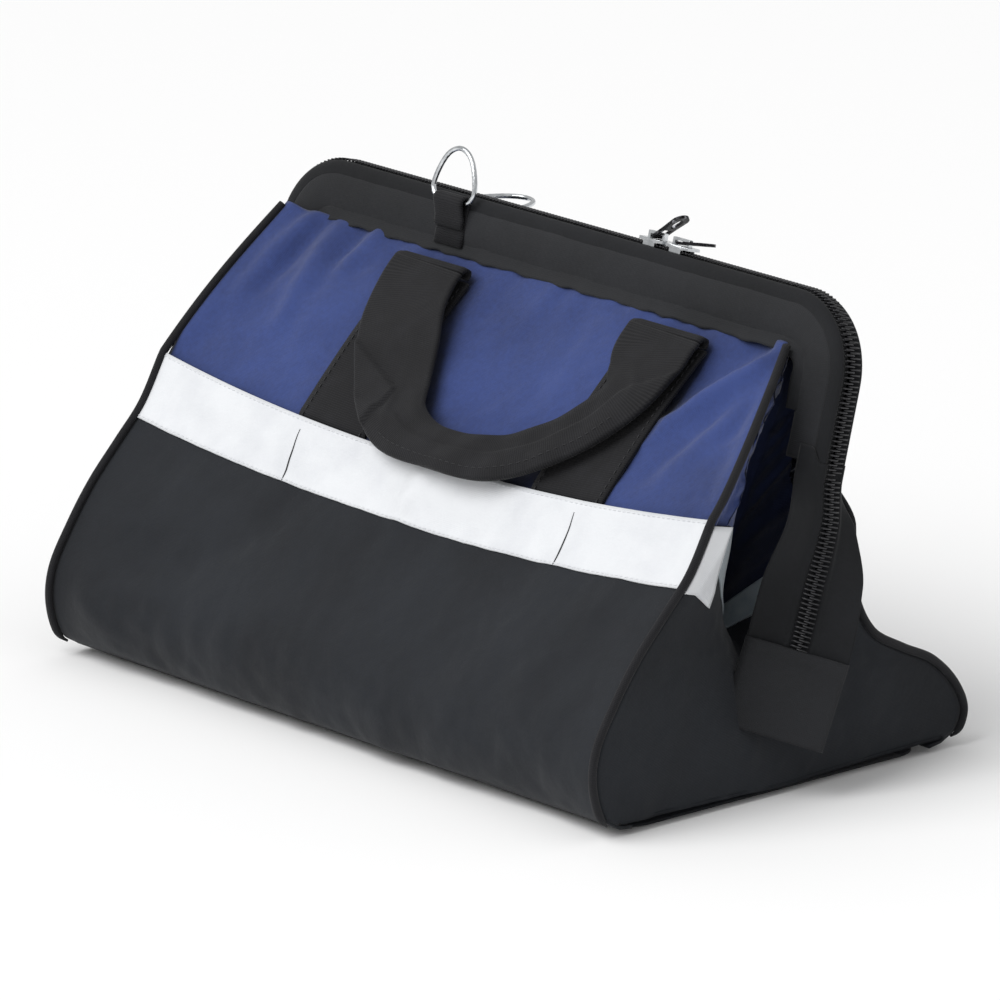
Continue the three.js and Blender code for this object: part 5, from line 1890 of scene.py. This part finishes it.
class Handle:
    """A carrying handle: the loop with its folded grip, its two folds and its two sewn base straps."""

    def __init__(self, wall: Wall, finishes: Finishes, sizes: HandleSizes = HandleSizes()) -> None:
        """Keeps the wall that the handle lies on, the materials and the sizes."""
        self.wall = wall
        self.shape = wall.shape
        self.side = wall.shape.side
        self.finishes = finishes
        self.sizes = sizes
        self.plane = self._find_plane()
        self.shift = sizes.front_shift if self.side is Side.FRONT else 0.0
        self.fold_height = sizes.fold_radius + sizes.fold_clearance + sizes.thickness / 2

    def _find_plane(self) -> HandlePlane:
        """Finds where the folds lie on the base straps.

        Returns:
            The handle's plane.
        """
        sizes, shape, sign = self.sizes, self.shape, self.side.value
        top = shape.point(0.5, 1)
        low = shape.point(0.5, shape.pocket_share)
        down = low - top
        down[0] = 0
        length = np.linalg.norm(down)
        down /= length
        fold_down = sizes.front_fold_down if sign < 0 else sizes.back_fold_down
        share = 1 - (1 - shape.pocket_share) * fold_down / length
        if sign > 0:
            down = np.array([0, math.sin(sizes.back_lean), -math.cos(sizes.back_lean)])
        out = np.array([0, sign * abs(down[2]), abs(down[1])])
        u = shape.share_at(sizes.centre_x, share)
        along = shape.point(u, share - 0.01) - shape.point(u, share + 0.01)
        along /= np.linalg.norm(along)
        wall_out = np.array([0, sign * abs(along[2]), abs(along[1])])
        fold = shape.point(u, share) + wall_out * (sizes.fold_radius + sizes.fold_seat - LAYERS.strap_depth)
        fold[0] = 0
        return HandlePlane(fold, down, out, share)

    def build(self) -> None:
        """Builds the handle's pieces."""
        self._loop()
        for end in End:
            self._fold(end)
            self._base_strap(end)
        LOG.info("%s handle", self.side.word)

    @staticmethod
    def _droop(x: float, share: float) -> float:
        """Gives how far the strap strays from its plane: soft waves down each leg and along the grip.

        Args:
            x: The place's x.
            share: The place along the loop.

        Returns:
            The distance.
        """
        wave = 0.8 * math.sin(x / 19 + 0.6) + 0.4 * math.sin(x / 8.5)
        bow = 1.8 * math.exp(-(((share - 0.3) / 0.14) ** 2))
        return wave * smooth(0.05, 0.35, share) + bow

    def centre_line(self, count: int) -> tuple[Array, Array, Array]:
        """Gives points (x, down) along the hanging loop, their tangents and the strap's half-widths.

        Args:
            count: Into how many parts the loop is cut.

        Returns:
            Points, tangents and half-widths.
        """
        places = evenly(0, 1, 400)
        dense = np.array([catmull_rom([knot[:2] for knot in self.sizes.hang], t) for t in places])
        halves = np.array([catmull_rom([(knot[2], 0) for knot in self.sizes.hang], t)[0] for t in places])
        lengths = running_length(dense)
        even = np.linspace(0, lengths[-1], count + 1)
        line = np.stack([np.interp(even, lengths, dense[:, k]) for k in range(2)], axis=1)
        return line, unit_rows(np.gradient(line, axis=0)), np.interp(even, lengths, halves)

    def _narrowing(self, half: float) -> float:
        """Gives how far the strap is folded in half, 0 flat to 1 folded, from its half-width."""
        return smooth(self.sizes.webbing / 2 - 1, self.sizes.grip / 2 + 1, half)

    def _corner_height(self, x: float, down: float) -> float:
        """Gives the height of the three-cornered flap where the strap is turned over at its left corner.

        Args:
            x: The place's x.
            down: Its distance below the folds.

        Returns:
            The height.
        """
        a, b, c = (np.array(p, float) for p in self.sizes.turned_corner)
        depths = []
        for start, finish in ((a, b), (b, c)):
            way = (finish - start) / np.linalg.norm(finish - start)
            depths.append(-way[1] * (x - start[0]) + way[0] * (down - start[1]))
        return 2.0 * smooth(0, 1.8, min(depths))

    def _loop(self) -> None:
        """Builds the strap: flat legs that fold in half to the grip, with the grip's edge sewn."""
        line, tangents, halves = self.centre_line(190)
        plane, sizes = self.plane, self.sizes
        path, across, scale = [], [], []
        last = len(line) - 1
        for k, ((x, down), (tx, ts)) in enumerate(zip(line, tangents)):
            share = 1 - abs(2 * k / last - 1)
            narrow = self._narrowing(halves[k])
            lift = self.fold_height + 1.6 * narrow + self._droop(x, share)
            path.append(plane.fold + np.array([x + self.shift, 0, 0]) + plane.down * down + plane.out * lift)
            across.append(np.array([-ts, 0, 0]) + plane.down * tx)
            scale.append((halves[k], (sizes.thickness + 1.4 * narrow) / 2))
        path, across, scale = (np.array(v) for v in (path, across, scale))
        up = np.array([plane.out] * len(path))

        def folded_over(k: int, s: float) -> float:
            """Gives the height of the folded half, of the turned corner and of the rounded grip."""
            narrow = self._narrowing(halves[k])
            edge = 1.05 - 1.15 * smooth(0, 0.9, narrow)
            flap = 1.0 * smooth(edge - 0.08, edge + 0.08, s) * smooth(0.02, 0.12, narrow)
            turn = math.exp(-(((narrow - 0.5) / 0.32) ** 2))
            crease = 1.0 * turn * math.exp(-(((s + 0.35 - 0.8 * narrow) / 0.16) ** 2))
            rounding = -1.7 * narrow * smooth(0.45, 1.0, abs(s)) ** 2
            x = line[k][0] - tangents[k][1] * halves[k] * s
            down = line[k][1] + tangents[k][0] * halves[k] * s
            ripple = 0.35 * math.sin(k / 3.1 + 2.2 * s) * narrow
            return flap + crease + rounding + ripple + self._corner_height(x, down)

        loop = strap_along(f"{self.side.word}_handle_webbing", path, across, up, scale, folded_over, 41)
        body = f"{self.side.word}_handle_body"
        fit(loop, self.finishes.webbing, f"{self.side.word}_handle", body)
        grip = [k for k in range(len(line)) if self._narrowing(halves[k]) > 0.9]
        edge = sizes.stitch_line
        points = [path[k] + across[k] * halves[k] * edge + up[k] * (scale[k][1] + folded_over(k, edge))
                  for k in grip]
        rows = [(np.array(points), up[grip])]
        stitches = Thread(stitch=3.0, gap=1.3, radius=0.24).build(f"{self.side.word}_grip_stitches", rows)
        fit(stitches, self.finishes.thread, body=body)

    def _fold(self, end: End) -> None:
        """Builds a fold: the strap turned over a half round from the base strap into the loop.

        Args:
            end: The end it is at.
        """
        sizes, plane = self.sizes, self.plane
        middle = np.array([end.value * sizes.centre_x + self.shift, 0, 0])
        path, up, scale = [], [], []
        for share in evenly(0, 1, 12):
            angle = math.pi * share
            way = plane.out * math.cos(angle) - plane.down * math.sin(angle)
            reach = self.fold_height * (1 - 0.62 * max(0.0, -math.cos(angle)))
            path.append(plane.fold + middle + way * reach)
            up.append(way)
            scale.append((sizes.webbing / 2 - 0.1, sizes.thickness / 2 * (1 - 0.4 * share)))
        across = np.array([[1.0, 0, 0]] * len(path))
        name = f"{self.side.word}_{end.word}"
        fold = strap_along(f"{name}_fold", np.array(path), across, np.array(up), np.array(scale))
        fit(fold, self.finishes.webbing, f"{name}_handle_fold", f"{self.side.word}_anchor")

    def _base_strap(self, end: End) -> None:
        """Builds the strap sewn flat on the body panel, its foot sunk behind the ribbon, and its stitches.

        Args:
            end: The end it is at.
        """
        sizes, shape = self.sizes, self.shape
        low = shape.pocket_share - 0.004
        vs = evenly(low, self.plane.fold_share - 0.002, sizes.strap_rows)
        half = (sizes.webbing - 0.5) / 2
        middle = end.value * sizes.centre_x + self.shift
        xs = evenly(middle - half, middle + half, sizes.strap_columns - 1)
        points = np.array([[shape.point(shape.share_at(x, v), v) for x in xs] for v in vs])
        sunk = by_row(-1.8 * (1 - smooth(low, low + 0.012, v)) for v in vs) * np.ones(len(xs))
        name = f"{self.side.word}_{end.word}"
        strap = sheet(f"{name}_strap", points, LAYERS.strap, self.wall.outward, LAYERS.strap_depth, sunk)
        fit(strap, self.finishes.webbing, f"{name}_base_strap", f"{self.side.word}_anchor")
        normals = grid_normals(points, self.wall.outward)
        face = points - normals * (LAYERS.strap_depth - 0.02)
        lines = [(face[:, column], normals[:, column]) for column in (1, sizes.strap_columns - 2)]
        stitches = Thread(stitch=3.0, gap=1.2).build(f"{name}_strap_stitches", lines)
        fit(stitches, self.finishes.thread, body=f"{self.side.word}_anchor")


@dataclass(frozen=True)
class RingTab:
    """A webbing tab that comes up over the sleeve, round the ring's bar and back.

    Its route is given in the frame's plane, as y and z, up to the ring's bar and on from it.
    """

    side: Side
    finishes: Finishes
    half_thickness: float = 0.85
    bar: Point = (12.3, 84.0)
    bar_radius: float = 2.75
    turn: float = math.radians(207)
    before_bar: tuple[Point, ...] = ((9.5, 62.0), (9.5, 72.0), (9.55, 84.0))
    after_bar: tuple[Point, ...] = ((12.0, 76.0), (11.4, 71.0))

    def build(self) -> None:
        """Builds the tab, as wide as its CAD node."""
        low, high = (Vector(p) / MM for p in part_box(f"{self.side.word}_ring_tab"))
        route = list(self.before_bar)
        for turned in evenly(0, self.turn, 11)[1:]:
            angle = math.pi - turned
            route.append((self.bar[0] + self.bar_radius * math.cos(angle),
                          self.bar[1] + self.bar_radius * math.sin(angle)))
        route += self.after_bar
        path = np.array([FRAME.world((low.x + high.x) / 2, self.side.value * y, z) for y, z in route])
        across = np.array([[1.0, 0, 0]] * len(path))
        up = np.cross(unit_rows(np.gradient(path, axis=0)), across)
        scale = np.array([((high.x - low.x) / 2, self.half_thickness)] * len(path))
        tab = strap_along(f"{self.side.word}_tab", path, across, up, scale)
        fit(tab, self.finishes.webbing, f"{self.side.word}_ring_tab", f"{self.side.word}_frame")


@dataclass(frozen=True)
class TailSizes:
    """The zip's tail beyond the hinge: tape, coils and a folded end tab."""

    half_width: float = 25
    top_half_width: float = 12
    spread: float = 42
    lean: float = math.radians(6)
    length: float = 84
    twist: float = math.radians(42)
    sway: float = 8.5
    top: float = 11.0
    flap: float = 7.0
    x: float = 207.6
    tab_length: float = 37
    tab_half_width: float = 25.5
    tab_thickness: float = 3.6
    tab_overlap: float = 6
    shoulder: float = 7
    tape_thickness: float = 0.9
    coil_start: float = 6.8
    coil_rise: float = 0.15


class Tail:
    """A zip tail that hangs from the hinge, twisted a little towards the front."""

    def __init__(self, end: End, finishes: Finishes, sizes: TailSizes = TailSizes()) -> None:
        """Keeps the end, the materials and the sizes."""
        self.end = end
        self.finishes = finishes
        self.sizes = sizes
        self.body = f"{end.word}_tail_body"

    def place(self, out: float, y: float, z: float) -> Array:
        """Gives the bag's point for a place of the untwisted tail: out from its tape, across and up.

        Args:
            out: Out from the tape.
            y: Across.
            z: Up.

        Returns:
            The point (x, y, z).
        """
        lean = self.sizes.lean * smooth(0, 50, -z)
        y, z = y * math.cos(lean) + z * math.sin(lean), z * math.cos(lean) - y * math.sin(lean)
        share = smooth(0, self.sizes.length, -z)
        angle = self.sizes.twist * share
        x = out * math.cos(angle) + y * math.sin(angle)
        turned = -out * math.sin(angle) + y * math.cos(angle)
        return FRAME.world(self.end.value * (self.sizes.x + x + self.sizes.sway * share), turned, z)

    def build(self) -> None:
        """Builds the tail's tape, coils and end tab."""
        sizes, name = self.sizes, f"{self.end.word}_tail"
        rows = evenly(sizes.top, -sizes.length, 70)
        points = np.array([[self._tape_point(share, z) for share in evenly(-1, 1, 40)] for z in rows])
        tape = sheet(f"{name}_cloth", points, sizes.tape_thickness, Vector((self.end.value, -0.4, 0)))
        fit(tape, self.finishes.zip_tape, f"{name}_tape", self.body)
        for side in Side:
            loops = CoilLoops(side)
            z = sizes.top - sizes.coil_start - (COIL_PITCH / 2 if side is Side.BACK else 0)
            while z > -sizes.length + 1:
                height = 0.4 + self._inward(z)
                centre = self.place(height, 0, z)
                down = self.place(height, 0, z - 1) - centre
                across = self.place(height, 1, z) - centre
                out = self.place(height + 1, 0, z) - centre
                loops.add(centre, down, across, out, sizes.coil_rise)
                z -= COIL_PITCH
            coil = loops.build(f"{name}_{side.word}_loops")
            fit(coil, self.finishes.coil, f"{name}_{side.word}_coil", self.body)
        self._end_tab()
        LOG.info("%s zip tail", self.end.word)

    def _half(self, z: float) -> float:
        """Gives the back half-width of the tape at a height: narrow at the sleeve, full width below it."""
        sizes = self.sizes
        return sizes.top_half_width + (sizes.half_width - sizes.top_half_width) * smooth(0, sizes.spread, -z)

    def _tape_point(self, share: float, z: float) -> Array:
        """Gives a tape point: turned back over the sleeve at the top, flat and a little wavy below.

        Args:
            share: The place across, -1 to 1.
            z: The height.

        Returns:
            The point (x, y, z).
        """
        front = share < 0
        width = abs(share) * (self.sizes.half_width if front else self._half(z))
        bent = smooth(-16, 4, z)
        turn = 3.9 if front else 1.9
        past = max(0.0, width - self.sizes.shoulder)
        round_y = width - past + turn * (1 - math.exp(-past / turn))
        if front:
            z += self.sizes.flap * smooth(0.35, 0.7, -share) * smooth(-14, self.sizes.top, z)
        y = width + (round_y - width) * bent
        wave = 0.6 * math.sin(z / 9 + 2.5 * share) * smooth(0.3, 1, abs(share)) * smooth(4, 26, -z)
        ridge = 1.2 * math.exp(-(((width - 5.9) / 1.3) ** 2))
        out = 0.2 + self._inward(z) + wave + ridge - (width - round_y) * bent
        return self.place(out, math.copysign(y, share), z)

    @staticmethod
    def _inward(z: float) -> float:
        """Gives how far the tail's top lies nearer the sleeve, in line with the zip."""
        return -3.4 * smooth(-18, 4, z)

    def _end_tab(self) -> None:
        """Builds the tab of folded webbing that covers the tail's end."""
        sizes = self.sizes
        heights = evenly(sizes.tab_overlap - sizes.length, -sizes.length - 0.4 - sizes.tab_length, 24)
        path = np.array([self.place(0.2, 0, z) for z in heights])
        across = unit_rows(np.array([self.place(0.2, 1, z) for z in heights]) - path)
        up = unit_rows(np.array([self.place(1.2, 0, z) for z in heights]) - path)
        over_tape = (sizes.tape_thickness if z > -sizes.length else 0 for z in heights)
        scale = np.array([(sizes.tab_half_width, sizes.tab_thickness / 2 + extra) for extra in over_tape])
        tab = strap_along(f"{self.end.word}_tail_tab", path, across, up, scale)
        fit(tab, self.finishes.sleeve, f"{self.end.word}_tail_end_tab", self.body)


@dataclass(frozen=True)
class Studio:
    """Pale floor, soft lights and the camera at the photograph's viewing angle."""

    azimuth: float = math.radians(48.83)
    elevation: float = math.radians(15.91)
    distance: float = 5.0
    focal_pixels: float = 10240
    image_pixels: float = 1000
    sensor: float = 36
    look_up: float = 0.0972
    look_left: float = 0.0013
    floor_size: float = 40000
    floor_drop: float = 0.2
    sky: float = 0.55
    key: float = 1.75
    key_softness: float = math.radians(50)
    fill: float = 10
    fill_size: float = 1.2

    def build(self) -> None:
        """Builds the floor, the lights and the camera."""
        self._floor()
        self._lights()
        self._camera()
        LOG.info("studio")

    def _axes(self) -> tuple[Vector, Vector, Vector]:
        """Gives the camera's right, up and backward directions.

        Returns:
            The three directions.
        """
        a, e = self.azimuth, self.elevation
        right = Vector((math.cos(a), math.sin(a), 0))
        back = Vector((math.sin(a) * math.cos(e), -math.cos(a) * math.cos(e), math.sin(e)))
        return right, back.cross(right), back

    def _floor(self) -> None:
        """Builds a floor that fills the view."""
        size = self.floor_size
        turns = ((-1, -1), (1, -1), (1, 1), (-1, 1))
        corners = [(x * size, y * size, -self.floor_drop) for x, y in turns]
        floor = new_mesh("floor", np.array(corners), [[0, 1, 2, 3]])
        dress(floor, PaleFloor().material())

    def _lights(self) -> None:
        """Builds an even white sky with a broad key light and a fill."""
        world = bpy.data.worlds.new("sky")
        world.use_nodes = True
        background = world.node_tree.nodes["Background"]
        background.inputs["Color"].default_value = (1, 1, 1, 1)
        background.inputs["Strength"].default_value = self.sky
        bpy.context.scene.world = world
        bpy.context.scene.view_settings.view_transform = "Standard"
        key = self._lamp("key", "SUN", self.key, Vector((0, 0, 0)), Vector((0.25, 0.95, -1.15)))
        key.angle = self.key_softness
        place = Vector((0.2, -1.6, 2.4))
        fill = self._lamp("strip", "AREA", self.fill, place, Vector((0, 0, 0.1)) - place)
        fill.size = self.fill_size

    @staticmethod
    def _lamp(name: str, kind: str, power: float, place: Vector, way: Vector) -> Light:
        """Adds a light at a place that shines along a direction.

        Args:
            name: Its name.
            kind: Its type.
            power: Its strength.
            place: Where it is.
            way: Where it shines.

        Returns:
            The light's data.
        """
        light = bpy.data.lights.new(name, kind)
        light.energy = power
        lamp = bpy.data.objects.new(name, light)
        lamp.location = place
        lamp.rotation_euler = way.to_track_quat("-Z", "Y").to_euler()
        bpy.context.scene.collection.objects.link(lamp)
        return light

    def _camera(self) -> None:
        """Adds a long lens that frames the bag as the photograph does."""
        right, up, back = self._axes()
        data = bpy.data.cameras.new("camera")
        data.sensor_width = self.sensor
        data.lens = self.sensor * self.focal_pixels / self.image_pixels
        data.clip_end = 200
        camera = bpy.data.objects.new("camera", data)
        target = up * self.look_up - right * self.look_left
        camera.location = target + back * self.distance
        camera.rotation_euler = (-back).to_track_quat("-Z", "Y").to_euler()
        bpy.context.scene.collection.objects.link(camera)
        bpy.context.scene.camera = camera


def main() -> None:
    """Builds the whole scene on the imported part."""
    logging.basicConfig(level=logging.INFO, format="%(name)s: %(message)s")
    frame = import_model()
    finishes = Finishes()
    Studio().build()
    for shape in (FRONT_WALL, BACK_WALL):
        wall = Wall(shape, finishes)
        wall.build()
        Handle(wall, finishes).build()
        for end in End:
            CornerBinding(shape, end, finishes).build()
    for end in End:
        Gusset(end, finishes).build()
        Tail(end, finishes).build()
    for side in Side:
        FrameHalf(side, finishes, frame).build()
        RingTab(side, finishes).build()
    Hardware(finishes, frame).build()


if __name__ == "__main__":
    main()
